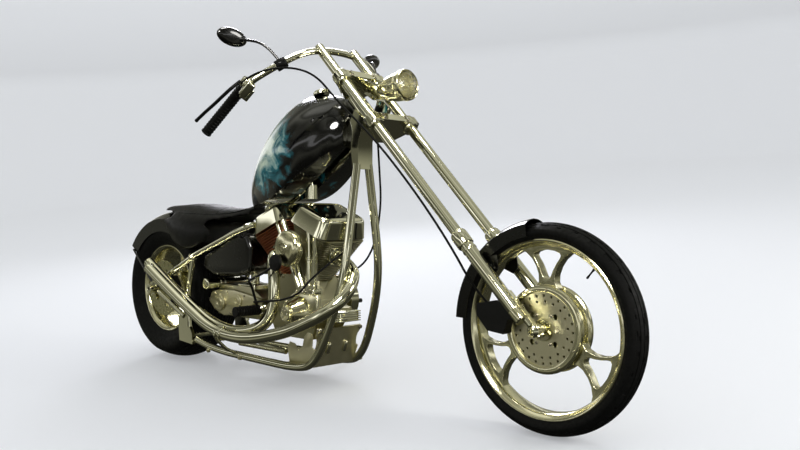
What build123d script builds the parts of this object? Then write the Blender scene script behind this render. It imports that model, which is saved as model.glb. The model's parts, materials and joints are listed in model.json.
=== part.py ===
from build123d import *
from math import asin, atan2, cos, degrees, hypot, radians, sin, tan
import os

# A chopper motorcycle. It is modelled upright, then leant onto its side stand.
# x runs forward from the rear axle, y to the rider's left, z up from the ground.

# Wheels
wheelbase = 2065
front_radius = 334
front_tyre_half = 48
front_tread_half = 38
front_rim_radius = 282
front_rim_half = 41
rear_radius = 328.5
rear_tyre_half = 118
rear_tread_half = 106
rear_rim_radius = 202
rear_rim_half = 94
tread_drop = 17
rear_tread_drop = 31
lip_depth = 13
lip_width = 4
rim_wall = 10
spoke_groups = 3
front_ring_radius = 138
front_ring_half = 40
rear_ring_radius = 96
hub_radius = 36
ring_band = 20
disc_seat = 26
disc_thickness = 5
front_hub_half = 52
rear_hub_half = 118
axle_radius = 12.5
axle_bore = 8
running_gap = 0.05

# Parking lean
lean = 7

# Steering and fork, measured along the fork line from axle height
rake = 45
fork_trail_back = 5
leg_spread = 90
stem_offset = 60
tube_radius = 19
slider_radius = 23
slider_start = 62
slider_end = 411
lower_clamp_at = 975
upper_clamp_at = 1218
clamp_thickness = 34
neck_radius = 31
clamp_gap = 6
bar_at = 1391
bar_radius = 13

# Frame
frame_tube = 16
backbone_tube = 19
rail_half = 125
stay_half = 156
stay_tube = 12
neck_plate_half = 38

# Engine, about its crank centre
crank = (910, 330)
vee_half = 22.5
cylinder_start = 118
head_end = 322
fin_pitch = 11
fin_thickness = 4
barrel_core = 46
barrel_half = 52
head_half = 100
rocker_half = 112
rocker_length = 84
rocker_height = 74
case_half = 74

# Exhaust
pipe_radius = 24
inner_pipe = -194
outer_pipe = -243
pipe_wall = 2

# Seat, tank and fenders
fender_gap = 36
fender_skin = 3

# The fork stands in its own plane: x across, y back towards the neck, z up the fork.
axle_front = Vector(wheelbase, 0, front_radius)
fork_up = Vector(-sin(radians(rake)), 0, cos(radians(rake)))
fork_back = Vector(-cos(radians(rake)), 0, -sin(radians(rake)))
fork_foot = axle_front + fork_back * fork_trail_back


def fork_plane(height):
    return Plane(fork_foot + fork_up * height, x_dir=(0, 1, 0), z_dir=fork_up)


def tube(points, radius, bends):
    with BuildLine() as path:
        if len(points) == 2:
            Line(*points)
        else:
            FilletPolyline(*points, radius=bends)
    with BuildSketch(Plane(path.line @ 0, z_dir=path.line % 0)) as section:
        Circle(radius)
    sweep(section.sketch, path=path.line)


def rod(start, end, radius, mode=Mode.ADD):
    run = Vector(*end) - Vector(*start)
    with BuildSketch(Plane(start, z_dir=run)) as section:
        Circle(radius)
    extrude(section.sketch, amount=run.length, mode=mode)


# A plate with an (x, z) outline, between two distances to the left of the centre plane
def slab(outline, near, far, mode=Mode.ADD):
    with BuildSketch(Plane.XZ.offset(-near)) as face:
        with BuildLine():
            Polyline(*outline, close=True)
        make_face()
    extrude(face.sketch, amount=near - far, mode=mode)


# A plane through an axle whose y runs outwards at an angle above the forward direction
def radial_plane(axle, angle):
    turn = radians(angle)
    return Plane(axle, x_dir=(0, 1, 0), z_dir=(sin(turn), 0, -cos(turn)))


def fender(axle, crown, half, skirt, skin, rear_end, front_end):
    with BuildSketch(radial_plane(axle, rear_end)) as section:
        with BuildLine():
            side = crown - 0.32 * half
            Polyline((-half, side), (-half, skirt), (skin - half, skirt), (skin - half, side - 0.5 * skin))
            ThreePointArc((skin - half, side - 0.5 * skin), (0, crown - skin), (half - skin, side - 0.5 * skin))
            Polyline((half - skin, side - 0.5 * skin), (half - skin, skirt), (half, skirt), (half, side))
            ThreePointArc((half, side), (0, crown), (-half, side))
        make_face()
    revolve(section.sketch, axis=Axis(axle, (0, 1, 0)), revolution_arc=rear_end - front_end)


def tyre(axle, radius, half, tread_half, drop, rim_radius, rim_half):
    seat = rim_radius - lip_depth
    bead = rim_half - lip_width
    bulge = (seat + radius) / 2
    with BuildSketch(Plane(axle, x_dir=(0, 1, 0), z_dir=(1, 0, 0))) as section:
        with BuildLine():
            Polyline((-bead, rim_radius), (-bead, seat), (bead, seat), (bead, rim_radius))
            ThreePointArc((bead, rim_radius), (half, bulge), (tread_half, radius - drop))
            ThreePointArc((tread_half, radius - drop), (0, radius), (-tread_half, radius - drop))
            ThreePointArc((-tread_half, radius - drop), (-half, bulge), (-bead, rim_radius))
        make_face()
    revolve(section.sketch, axis=Axis(axle, (0, 1, 0)))


def rim(axle, rim_radius, rim_half, hub_half, ring_radius, ring_half, web_half, first):
    seat = rim_radius - lip_depth
    bead = rim_half - lip_width
    inner = seat - rim_wall
    with BuildSketch(Plane(axle, x_dir=(0, 1, 0), z_dir=(1, 0, 0))) as section:
        with BuildLine():
            Polyline((-rim_half, inner + 6), (-rim_half, rim_radius), (-bead, rim_radius), (-bead, seat),
                     (bead, seat), (bead, rim_radius), (rim_half, rim_radius), (rim_half, inner + 6),
                     (bead - 8, inner), (8 - bead, inner), close=True)
        make_face()
        with BuildLine():
            Polyline((-hub_half, axle_radius + running_gap), (-hub_half, hub_radius), (-disc_seat, hub_radius),
                     (-disc_seat, ring_radius - ring_band), (-ring_half, ring_radius - ring_band),
                     (-ring_half, ring_radius), (ring_half, ring_radius), (ring_half, ring_radius - ring_band),
                     (disc_seat, ring_radius - ring_band), (disc_seat, hub_radius), (hub_half, hub_radius),
                     (hub_half, axle_radius + running_gap), close=True)
        make_face()
    revolve(section.sketch, axis=Axis(axle, (0, 1, 0)))
    web = Plane(axle, x_dir=(1, 0, 0), z_dir=(0, -1, 0))
    with BuildSketch(web) as spokes:
        with PolarLocations(0, spoke_groups, start_angle=first):
            Polygon((ring_radius - 12, -0.22 * ring_radius), (ring_radius - 12, 0.22 * ring_radius),
                    (0.9 * inner, 0.47 * inner), (0.995 * inner, 0.06 * inner),
                    (0.995 * inner, -0.06 * inner), (0.9 * inner, -0.47 * inner), align=None)
        with PolarLocations(0, spoke_groups, start_angle=first):
            Polygon((ring_radius + 22, -0.05 * ring_radius), (ring_radius + 22, 0.05 * ring_radius),
                    (0.86 * inner, 0.33 * inner), (0.95 * inner, 0), (0.86 * inner, -0.33 * inner),
                    align=None, mode=Mode.SUBTRACT)
        corners = [corner for corner in spokes.vertices() if 0.9 < hypot(corner.X, corner.Y) / inner < 0.94]
        fillet(corners, 0.06 * inner)
    extrude(spokes.sketch, amount=web_half, both=True)


# Front wheel
with BuildPart() as front_tyre:
    tyre(axle_front, front_radius, front_tyre_half, front_tread_half, tread_drop, front_rim_radius, front_rim_half)

with BuildPart() as front_rim:
    rim(axle_front, front_rim_radius, front_rim_half, front_hub_half, front_ring_radius,
        front_ring_half, 16, 74)

front_disc_radius = front_ring_radius - ring_band
with BuildPart() as front_disc:
    disc_plane = Plane(axle_front + Vector(0, -disc_seat, 0), x_dir=(1, 0, 0), z_dir=(0, -1, 0))
    with BuildSketch(disc_plane):
        Circle(front_disc_radius)
        Circle(hub_radius, mode=Mode.SUBTRACT)
        with PolarLocations(front_disc_radius - 12, 24):
            Circle(4, mode=Mode.SUBTRACT)
        with PolarLocations(front_disc_radius - 30, 18, start_angle=7):
            Circle(4, mode=Mode.SUBTRACT)
        with PolarLocations(front_disc_radius - 58, 4, start_angle=45):
            Circle(9, mode=Mode.SUBTRACT)
    extrude(amount=disc_thickness)

# Rear wheel
axle_rear = Vector(0, 0, rear_radius)
with BuildPart() as rear_tyre:
    tyre(axle_rear, rear_radius, rear_tyre_half, rear_tread_half, rear_tread_drop, rear_rim_radius, rear_rim_half)

with BuildPart() as rear_rim:
    rim(axle_rear, rear_rim_radius, rear_rim_half, rear_hub_half, rear_ring_radius, 62, 34, 74)

rear_disc_radius = 128
rear_disc_side = -104
with BuildPart() as rear_disc:
    with BuildSketch(Plane(axle_rear + Vector(0, rear_disc_side, 0), x_dir=(1, 0, 0), z_dir=(0, -1, 0))):
        Circle(rear_disc_radius)
        Circle(hub_radius, mode=Mode.SUBTRACT)
        with PolarLocations(rear_disc_radius - 14, 20):
            Circle(4, mode=Mode.SUBTRACT)
        with PolarLocations(rear_disc_radius - 55, 5):
            Circle(17, mode=Mode.SUBTRACT)
    extrude(amount=disc_thickness)

# Drive belt and pulleys, on the left
belt_near = 123
belt_far = 141
pulley_radius = 98
belt_thickness = 5
belt_gap = 0.5
gearbox_pulley = (560, 300)
gearbox_pulley_radius = 42
with BuildPart() as rear_pulley:
    with BuildSketch(Plane(axle_rear + Vector(0, belt_near, 0), x_dir=(-1, 0, 0), z_dir=(0, 1, 0))):
        Circle(pulley_radius)
        Circle(axle_radius + running_gap, mode=Mode.SUBTRACT)
        with PolarLocations(pulley_radius * 0.62, 5):
            Circle(pulley_radius * 0.2, mode=Mode.SUBTRACT)
    extrude(amount=belt_far - belt_near)

with BuildPart() as drive_belt:
    pulley_run = Vector(gearbox_pulley[0], 0, gearbox_pulley[1]) - axle_rear
    belt_plane = Plane(axle_rear + Vector(0, belt_near + 1, 0), x_dir=pulley_run, z_dir=(0, 1, 0))
    with BuildSketch(belt_plane):
        with BuildLine():
            big = pulley_radius + belt_gap
            small = gearbox_pulley_radius + belt_gap
            turn = asin((big - small) / pulley_run.length)
            far_x = pulley_run.length
            big_top = (big * sin(turn), big * cos(turn))
            big_low = (big * sin(turn), -big * cos(turn))
            small_top = (far_x + small * sin(turn), small * cos(turn))
            small_low = (far_x + small * sin(turn), -small * cos(turn))
            ThreePointArc(big_top, (-big, 0), big_low)
            Line(big_low, small_low)
            ThreePointArc(small_low, (far_x + small, 0), small_top)
            Line(small_top, big_top)
        make_face()
        offset(amount=belt_thickness, mode=Mode.ADD)
        with BuildLine():
            ThreePointArc(big_top, (-big, 0), big_low)
            Line(big_low, small_low)
            ThreePointArc(small_low, (far_x + small, 0), small_top)
            Line(small_top, big_top)
        make_face(mode=Mode.SUBTRACT)
    extrude(amount=belt_far - belt_near - 2)

# Axles
with BuildPart() as rear_axle:
    half = stay_half + 34
    rod((0, -half, rear_radius), (0, half, rear_radius), axle_radius)
    for side in (-1, 1):
        rod((0, side * (half - 16), rear_radius), (0, side * half, rear_radius), axle_radius + 8)
    rod((0, -half, rear_radius), (0, half, rear_radius), axle_bore, Mode.SUBTRACT)

front_axle_half = 100
slim_side = 68
slim_radius = 11
with BuildPart() as front_axle:
    rod((axle_front.X, -front_axle_half, axle_front.Z), (axle_front.X, front_axle_half, axle_front.Z), axle_radius)
    rod((axle_front.X, -front_axle_half, axle_front.Z), (axle_front.X, front_axle_half, axle_front.Z),
        axle_bore, Mode.SUBTRACT)

# Fork
with BuildPart() as fork_tubes:
    with BuildSketch(fork_plane(slider_end - 40)):
        with Locations((leg_spread, 0), (-leg_spread, 0)):
            Circle(tube_radius)
    extrude(amount=bar_at + bar_radius - slider_end + 40)

with BuildPart() as fork_legs:
    with BuildSketch(fork_plane(slider_start)):
        with Locations((leg_spread, 0), (-leg_spread, 0)):
            Circle(slider_radius)
    extrude(amount=slider_end - slider_start)
    with BuildSketch(fork_plane(slider_end - 45)):
        with Locations((leg_spread, 0), (-leg_spread, 0)):
            Circle(slider_radius + 3)
    extrude(amount=45)
    with BuildSketch(fork_plane(-24)):
        with Locations((slim_side + 2, -fork_trail_back), (-slim_side - 2, -fork_trail_back)):
            SlotCenterToCenter(14, 2 * slim_radius)
    extrude(amount=180)
    for side in (-1, 1):
        rod((axle_front.X, side * (slim_side - slim_radius), axle_front.Z),
            (axle_front.X, side * (slim_side + slim_radius), axle_front.Z), axle_radius + 9)
    with BuildSketch(fork_plane(slider_end - 41)):
        with Locations((leg_spread, 0), (-leg_spread, 0)):
            Circle(tube_radius)
    extrude(amount=50, mode=Mode.SUBTRACT)
    rod((axle_front.X, -front_axle_half, axle_front.Z), (axle_front.X, front_axle_half, axle_front.Z),
        axle_radius, Mode.SUBTRACT)


def clamp(height, thickness, boss):
    with BuildSketch(fork_plane(height - thickness / 2)) as plate:
        with BuildLine():
            outer = leg_spread + tube_radius + 13
            Polyline((-outer, -30), (outer, -30), (outer, 6), (boss - 1, stem_offset + boss * 0.7),
                     (1 - boss, stem_offset + boss * 0.7), (-outer, 6), close=True)
        make_face()
        fillet(plate.vertices(), 14)
        with Locations((leg_spread, 0), (-leg_spread, 0)):
            Circle(tube_radius, mode=Mode.SUBTRACT)
    extrude(plate.sketch, amount=thickness)


with BuildPart() as upper_clamp:
    clamp(upper_clamp_at, clamp_thickness, neck_radius)

stem_radius = 13
with BuildPart() as lower_clamp:
    clamp(lower_clamp_at, clamp_thickness, neck_radius)
    with BuildSketch(fork_plane(lower_clamp_at + clamp_thickness / 2)):
        with Locations((0, stem_offset)):
            Circle(stem_radius)
    extrude(amount=upper_clamp_at - lower_clamp_at - clamp_thickness)

# Steering neck with its gusset
neck_low = lower_clamp_at + clamp_thickness / 2 + clamp_gap
neck_high = upper_clamp_at - clamp_thickness / 2 - clamp_gap
with BuildPart() as neck:
    with BuildSketch(fork_plane(neck_low)):
        with Locations((0, stem_offset)):
            Circle(neck_radius)
    extrude(amount=neck_high - neck_low)
    slab([(1160, 985), (1215, 1080), (1268, 1040), (1236, 960), (1236, 856), (1206, 856), (1196, 930), (1150, 950)],
         neck_plate_half, -neck_plate_half)
    with BuildSketch(fork_plane(neck_low - 2)):
        with Locations((0, stem_offset)):
            Circle(stem_radius + running_gap)
    extrude(amount=neck_high - neck_low + 4, mode=Mode.SUBTRACT)

# Frame tubes
with BuildPart() as backbone:
    tube([(1176, 0, 1000), (800, 0, 740), (672, 0, 722), (566, 0, 590), (556, 0, 376)], backbone_tube, [120, 60, 90])
    add(neck.part, mode=Mode.SUBTRACT)

with BuildPart() as downtubes:
    tube([(1222, 30, 875), (1224, 80, 553), (1208, 100, 415), (1068, rail_half, 84),
          (424, rail_half, 92), (318, rail_half + 10, 124)],
         frame_tube, [700, 400, 340, 120])
    mirror(about=Plane.XZ)
    add(neck.part, mode=Mode.SUBTRACT)

with BuildPart() as upper_stays:
    tube([(700, 112, 637), (592, 128, 604), (340, stay_half - 6, 504), (150, stay_half, 414), (24, stay_half, 346)],
         frame_tube - 3, [200, 300, 300])
    rod((0, stay_half - 8, rear_radius + 4), (0, stay_half + 12, rear_radius + 4), 30)
    rod((0, stay_half - 20, rear_radius), (0, stay_half + 20, rear_radius), axle_radius, Mode.SUBTRACT)
    mirror(about=Plane.XZ)
    tube([(660, 130, 628), (640, 60, 640), (640, -60, 640), (660, -130, 628)], 11, [40, 40])
    add(backbone.part, mode=Mode.SUBTRACT)

with BuildPart() as lower_stays:
    slab([(200, 222), (262, 232), (312, 150), (316, 104), (214, 112)], stay_half + 4, stay_half - 11)
    tube([(250, stay_half, 222), (150, stay_half, 268), (36, stay_half, 316)], stay_tube, [100])
    tube([(286, stay_half, 180), (276, stay_half, 330), (312, stay_half - 4, 490)], stay_tube, [300])
    mirror(about=Plane.XZ)
    rod((292, -stay_half, 140), (292, stay_half, 140), stay_tube - 2)
    add(upper_stays.part, mode=Mode.SUBTRACT)
    add(downtubes.part, mode=Mode.SUBTRACT)

with BuildPart() as rear_caliper:
    slab([(88, 382), (128, 396), (160, 350), (148, 316), (118, 322)], rear_disc_side - 12, rear_disc_side - 36)
    rod((120, rear_disc_side - 30, 350), (150, -stay_half, 274), 9)
    add(upper_stays.part, mode=Mode.SUBTRACT)
    add(lower_stays.part, mode=Mode.SUBTRACT)

with BuildPart() as skid_plate:
    slab([(1096, 246), (1104, 243), (1057, 90), (800, 66), (800, 72), (1051, 96)],
         rail_half - 12, 12 - rail_half)
    add(downtubes.part, mode=Mode.SUBTRACT)

# Engine
crank_point = Vector(crank[0], 0, crank[1])


def barrel_plane(side, height):
    tilt = radians(side * vee_half)
    up = Vector(sin(tilt), 0, cos(tilt))
    return Plane(crank_point + up * height, x_dir=(cos(tilt), 0, -sin(tilt)), z_dir=up)


with BuildPart() as crankcase:
    slab([(800, 190), (1010, 190), (1055, 260), (1060, 350), (985, 440), (835, 440), (765, 350), (765, 250)],
         case_half, -case_half)
    slab([(1050, 264), (1108, 264), (1108, 318), (1050, 330)], case_half - 20, 20 - case_half)
    for side in (-1, 1):
        with BuildSketch(barrel_plane(side, cylinder_start - 50)):
            Circle(barrel_core + 12)
        extrude(amount=50)

port_radius = 28
port_height = 250
front_across = barrel_plane(1, 0).x_dir
front_port_root = barrel_plane(1, port_height).origin + front_across * 40 + Vector(0, -20, 0)
front_port = front_port_root + front_across * 68
rear_port = Vector(838, -104, 530)
with BuildPart() as cylinders:
    for side in (-1, 1):
        comb_plane = barrel_plane(side, 0)
        comb = Plane(crank_point, x_dir=comb_plane.x_dir, z_dir=(0, -1, 0))
        length = head_end - cylinder_start
        with BuildSketch(comb) as fins:
            with Locations((0, (cylinder_start + head_end) / 2)):
                Rectangle(2 * barrel_core, length)
            for turn in range(int(length / fin_pitch)):
                at = cylinder_start + 12 + turn * fin_pitch
                inner = min(head_half, at * tan(radians(vee_half)) - 2)
                with Locations((side * (head_half - inner) / 2, at)):
                    Rectangle(head_half + inner, fin_thickness)
        block = extrude(fins.sketch, amount=head_half, both=True, mode=Mode.PRIVATE)
        with BuildSketch(barrel_plane(side, cylinder_start - 5)) as low_outline:
            RectangleRounded(2 * barrel_half, 2 * barrel_half, 34)
        with BuildSketch(barrel_plane(side, head_end + 5)) as high_outline:
            RectangleRounded(2 * head_half, 2 * head_half, 34)
        envelope = loft([low_outline.sketch, high_outline.sketch], mode=Mode.PRIVATE)
        add(block & envelope)
    rod(front_port_root, front_port, port_radius)
    rod(rear_port + Vector(0, 66, 0), rear_port, port_radius)
    add(crankcase.part, mode=Mode.SUBTRACT)

with BuildPart() as rocker_covers:
    for side in (-1, 1):
        with BuildSketch(barrel_plane(side, head_end + 1)):
            RectangleRounded(2 * rocker_length, 2 * rocker_half, 20)
        with BuildSketch(barrel_plane(side, head_end + rocker_height)):
            RectangleRounded(2 * (rocker_length - 16), 2 * (rocker_half - 16), 20)
        loft()

with BuildPart() as cam_cover:
    slab([(860, 250), (1040, 240), (1080, 290), (1070, 380), (960, 384), (880, 340)], -case_half - 1, -case_half - 26)
    with BuildSketch(Plane(Vector(978, -case_half - 26, 300), x_dir=(1, 0, 0), z_dir=(0, -1, 0))):
        Circle(58)
    with BuildSketch(Plane(Vector(978, -case_half - 92, 300), x_dir=(1, 0, 0), z_dir=(0, -1, 0))):
        Circle(33)
    loft()
    with BuildSketch(Plane(Vector(978, -case_half - 92, 300), x_dir=(1, 0, 0), z_dir=(0, -1, 0))):
        Circle(30)
    extrude(amount=14)

# Pushrod tubes: foot x, top x
tappets = [(985, 838), (1008, 880), (1040, 1034), (1066, 1076)]
pushrod_side = -107
with BuildPart() as pushrod_tubes:
    for foot_x, top_x in tappets:
        rod((foot_x, pushrod_side, 388), (top_x, pushrod_side, 655), 9)
    slab([(968, 372), (1084, 372), (1084, 396), (968, 396)], -case_half, pushrod_side - 12)
    add(cam_cover.part, mode=Mode.SUBTRACT)
    add(rocker_covers.part, mode=Mode.SUBTRACT)
    add(cylinders.part, mode=Mode.SUBTRACT)
    add(crankcase.part, mode=Mode.SUBTRACT)

with BuildPart() as carburettor:
    rod((948, -151, 566), (948, -80, 566), 26)
    add(cylinders.part, mode=Mode.SUBTRACT)
    add(pushrod_tubes.part, mode=Mode.SUBTRACT)

with BuildPart() as air_cleaner:
    with BuildSketch(Plane(Vector(968, -151, 566), x_dir=(1, 0, 0), z_dir=(0, -1, 0))):
        Circle(64)
    extrude(amount=26)
    with BuildSketch(Plane(Vector(968, -177, 566), x_dir=(1, 0, 0), z_dir=(0, -1, 0))):
        Circle(60)
    with BuildSketch(Plane(Vector(968, -192, 566), x_dir=(1, 0, 0), z_dir=(0, -1, 0))):
        Circle(36)
    loft()

with BuildPart() as gearbox:
    slab([(400, 240), (700, 240), (720, 330), (640, 375), (420, 375), (390, 320)], 84, -84)
    slab([(352, 300), (470, 238), (560, 250), (730, 330), (541, 357), (380, 345)], -84, -104)
    with BuildSketch(Plane(Vector(420, -104, 300), x_dir=(1, 0, 0), z_dir=(0, -1, 0))):
        with Locations((0, 0), (105, 5)):
            Circle(36)
            Circle(20, mode=Mode.SUBTRACT)
    extrude(amount=12)
    rod((gearbox_pulley[0], 84, gearbox_pulley[1]), (gearbox_pulley[0], 146, gearbox_pulley[1]), 16)
    rod((gearbox_pulley[0], belt_near, gearbox_pulley[1]), (gearbox_pulley[0], belt_far, gearbox_pulley[1]),
        gearbox_pulley_radius)

with BuildPart() as starter:
    rod((392, -145, 374), (392, 60, 374), 24)
    add(gearbox.part, mode=Mode.SUBTRACT)

primary_face = 190
primary_depth = 42
with BuildPart() as primary_cover:
    with BuildSketch(Plane(Vector(0, primary_face, 0), x_dir=(1, 0, 0), z_dir=(0, -1, 0))):
        with BuildLine():
            ThreePointArc((912, 232), (1010, 330), (912, 428))
            Line((912, 428), (560, 418))
            ThreePointArc((560, 418), (442, 300), (560, 182))
            Line((560, 182), (912, 232))
        make_face()
    extrude(amount=primary_depth)
    rod((912, case_half, 330), (912, primary_face - 10, 330), 60)

with BuildPart() as exhaust_pipes:
    tube([front_port, front_port + front_across * 80, (1246, -60, 436), (1254, -112, 378), (1200, -190, 308),
          (1040, outer_pipe, 226), (833, outer_pipe, 190), (648, outer_pipe, 194), (489, outer_pipe, 248),
          (294, outer_pipe, 334), (96, outer_pipe, 433)],
         pipe_radius, [60, 50, 60, 100, 220, 240, 240, 400, 900])
    tube([rear_port, rear_port + Vector(6, -40, 0), (878, -146, 430), (878, -150, 300), (765, inner_pipe + 4, 208),
          (572, inner_pipe, 208), (409, inner_pipe, 264), (210, inner_pipe, 350), (12, inner_pipe, 452)],
         pipe_radius, [32, 100, 80, 80, 240, 400, 900])
    rod((156, outer_pipe, 403), (96, outer_pipe, 433), pipe_radius - pipe_wall, Mode.SUBTRACT)
    rod((70, inner_pipe, 422.1), (12, inner_pipe, 452), pipe_radius - pipe_wall, Mode.SUBTRACT)
    add(cylinders.part, mode=Mode.SUBTRACT)

with BuildPart() as exhaust_bracket:
    tube([(600, -rail_half - 10, 98), (600, -180, 120), (600, -222, 158), (600, -230, 178)], 7, [30, 30])
    add(exhaust_pipes.part, mode=Mode.SUBTRACT)
    add(downtubes.part, mode=Mode.SUBTRACT)

with BuildPart() as canister:
    rod((925, 0, 744), (925, 0, 800), 24)
    rod((925, 0, 790), (925, 0, 820), 10)
    add(backbone.part, mode=Mode.SUBTRACT)

# Body
# Tank stations along x: half width, low edge, crest
tank_stations = [(604, 30, 714, 742), (655, 84, 712, 905), (741, 122, 724, 1052), (860, 146, 752, 1142),
                 (1000, 142, 832, 1158), (1110, 106, 903, 1136), (1176, 56, 962, 1080)]
with BuildPart() as fuel_tank:
    for at, half, low, high in tank_stations:
        with BuildSketch(Plane.YZ.offset(at)):
            with BuildLine():
                Line((-half, low), (half, low))
                ThreePointArc((half, low), (0.84 * half, low + 0.7 * (high - low)), (0, high))
                ThreePointArc((0, high), (-0.84 * half, low + 0.7 * (high - low)), (-half, low))
            make_face()
    loft()
    slab([(560, 650), (560, 752), (800, 768), (1190, 1038), (1190, 700)], 30, -30, Mode.SUBTRACT)
    with BuildSketch(fork_plane(neck_low - 120)):
        with Locations((0, stem_offset - 40)):
            Rectangle(2 * neck_radius + 24, 80 + 2 * neck_radius + 16)
    extrude(amount=neck_high - neck_low + 300, mode=Mode.SUBTRACT)
    add(neck.part, mode=Mode.SUBTRACT)
    add(downtubes.part, mode=Mode.SUBTRACT)

with BuildPart() as filler_cap:
    rod((985, 0, 1156), (980, 0, 1172), 32)
    add(fuel_tank.part, mode=Mode.SUBTRACT)

fender_crown = rear_radius + fender_gap
fender_half = rear_tyre_half + 9
fender_skirt = 265
fender_rear_end = 144
fender_front_end = 58
with BuildPart() as seat:
    # Stations along x: half width, low edge, crown
    seat_stations = [(590, 60, 664, 716), (480, 112, 606, 690), (350, 142, 548, 704), (215, 152, 522, 722),
                     (90, 146, 592, 708), (-50, 104, 650, 684)]
    for at, half, low, high in seat_stations:
        with BuildSketch(Plane.YZ.offset(at)):
            with BuildLine():
                Line((-half, low), (half, low))
                ThreePointArc((half, low), (0.86 * half, low + 0.75 * (high - low)), (0, high))
                ThreePointArc((0, high), (-0.86 * half, low + 0.75 * (high - low)), (-half, low))
            make_face()
    loft()
    rod((0, -fender_half - 2, rear_radius), (0, fender_half + 2, rear_radius), fender_crown + 0.3, Mode.SUBTRACT)
    slab([(330, 470), (330, 640), (600, 680), (600, 470)], 132, -132, Mode.SUBTRACT)
    add(upper_stays.part, mode=Mode.SUBTRACT)
    add(backbone.part, mode=Mode.SUBTRACT)

tank_side = 124
with BuildPart() as oil_tank:
    slab([(338, 440), (350, 500), (560, 586), (658, 598), (688, 545), (680, 446), (600, 420), (420, 412)],
         tank_side, -tank_side)
    fillet(oil_tank.edges().filter_by(Axis.Y), 22)
    fillet(oil_tank.faces().sort_by(Axis.Y)[0].edges(), 16)
    fillet(oil_tank.faces().sort_by(Axis.Y)[-1].edges(), 16)
    slab([(520, 380), (520, 640), (620, 640), (620, 380)], backbone_tube + 6, -backbone_tube - 6, Mode.SUBTRACT)
    rod((620, -tank_side - 8, 590), (620, tank_side + 8, 590), 9)
    add(upper_stays.part, mode=Mode.SUBTRACT)

with BuildPart() as rear_fender:
    fender(axle_rear, fender_crown, fender_half, fender_skirt, fender_skin, fender_rear_end, fender_front_end)
    strut_top = axle_rear + Vector(-240, 0, 172)
    for side in (-1, 1):
        rod((strut_top.X, side * (fender_half + 4), strut_top.Z), (-24, side * (stay_half - 4), rear_radius + 20), 5)
    add(upper_stays.part, mode=Mode.SUBTRACT)

with BuildPart() as tail_lamp:
    rod((-328, 0, 468), (-358, 0, 460), 34)
    slab([(-286, 541), (-298, 549), (-308, 514), (-366, 446), (-376, 352), (-368, 350), (-358, 441), (-299, 504)], 20, -20)
    add(rear_fender.part, mode=Mode.SUBTRACT)

with BuildPart() as foot_controls:
    rod((764, -136, 293), (764, -256, 293), 21)
    rod((790, -case_half, 310), (764, -142, 296), 12)
    tube([(764, -144, 300), (762, -172, 396), (800, -216, 418), (900, -217, 455), (958, -214, 488)], 5, [20, 20, 60])
    rod((962, -205, 497), (962, -219, 499), 33)
    rod((764, primary_face, 300), (764, 305, 300), 21)
    rod((830, primary_face, 290), (830, primary_face + 22, 290), 9)
    rod((830, primary_face + 16, 290), (950, primary_face + 18, 318), 6)
    rod((950, primary_face + 10, 318), (950, primary_face + 70, 318), 9)
    add(crankcase.part, mode=Mode.SUBTRACT)
    add(exhaust_pipes.part, mode=Mode.SUBTRACT)

# Steering trim
# The handlebar runs through the tops of the fork tubes
bar_seat = fork_foot + fork_up * bar_at
grip_end = (808, -421, 988)
grip_start = (957, -361, 1152)
with BuildPart() as handlebar:
    tube([grip_end, grip_start, (1052, -236, 1252), (bar_seat.X, -leg_spread, bar_seat.Z),
          (bar_seat.X, 0, bar_seat.Z)], bar_radius, [180, 200, 150])
    mirror(about=Plane.XZ)
fork_tubes.part -= handlebar.part

with BuildPart() as grips:
    rod(grip_start, (Vector(*grip_end) * 1.014 - Vector(*grip_start) * 0.014), 18)
    mirror(about=Plane.XZ)
    add(handlebar.part, mode=Mode.SUBTRACT)

with BuildPart() as mirrors:
    for side in (-1, 1):
        with BuildSketch(Plane((905, side * 367, 1343), x_dir=(0, 1, 0), z_dir=(-1, 0, 0.1))):
            Ellipse(62, 34)
        extrude(amount=16)
        tube([(898, side * 345, 1338), (972, side * 300, 1326), (1040, side * 252, 1240)], 4, [40])
    add(handlebar.part, mode=Mode.SUBTRACT)

lamp_axis = Vector(cos(radians(6)), 0, sin(radians(6)))
lamp_point = Vector(1448, 0, 1154)
lamp_radius = 50
with BuildPart() as headlight:
    with BuildSketch(Plane(lamp_point, z_dir=lamp_axis)):
        Circle(lamp_radius)
    with BuildSketch(Plane(lamp_point - lamp_axis * 90, z_dir=lamp_axis)):
        Circle(0.8 * lamp_radius)
    with BuildSketch(Plane(lamp_point - lamp_axis * 145, z_dir=lamp_axis)):
        Circle(12)
    loft()

with BuildPart() as headlight_lens:
    rod(lamp_point + lamp_axis * 0.3, lamp_point + lamp_axis * 12, lamp_radius - 5)

slider_inner = leg_spread - slider_radius + 3
with BuildPart() as front_fender:
    fender(axle_front, front_radius + 16, front_tyre_half + 7, 292, fender_skin, 178, 100)
    slab([(1848, 548), (1900, 562), (1906, 515), (1888, 494), (1850, 508)], front_tyre_half + 7, front_tyre_half + 4)
    slab([(1848, 548), (1900, 562), (1906, 515), (1888, 494), (1850, 508)], -front_tyre_half - 4, -front_tyre_half - 7)
    rod((1873, -slider_inner, 518), (1873, -front_tyre_half - 4, 518), 11)
    rod((1873, front_tyre_half + 4, 518), (1873, slider_inner, 518), 11)
    add(fork_legs.part, mode=Mode.SUBTRACT)

with BuildPart() as caliper:
    slab([(1842, 402), (1918, 418), (1966, 362), (1948, 312), (1884, 318), (1840, 366)],
         -front_ring_half - 6, -front_ring_half - 42)
    slab([(1918, 418), (1996, 396), (1984, 362), (1940, 362)], -front_ring_half - 30, -front_ring_half - 42)
    add(fork_legs.part, mode=Mode.SUBTRACT)

with BuildPart() as lamp_bracket:
    slab([(1205, 1165), (1216, 1205), (1330, 1152), (1330, 1110), (1292, 1110)], 20, -20)
    add(upper_clamp.part, mode=Mode.SUBTRACT)
    add(headlight.part, mode=Mode.SUBTRACT)

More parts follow.
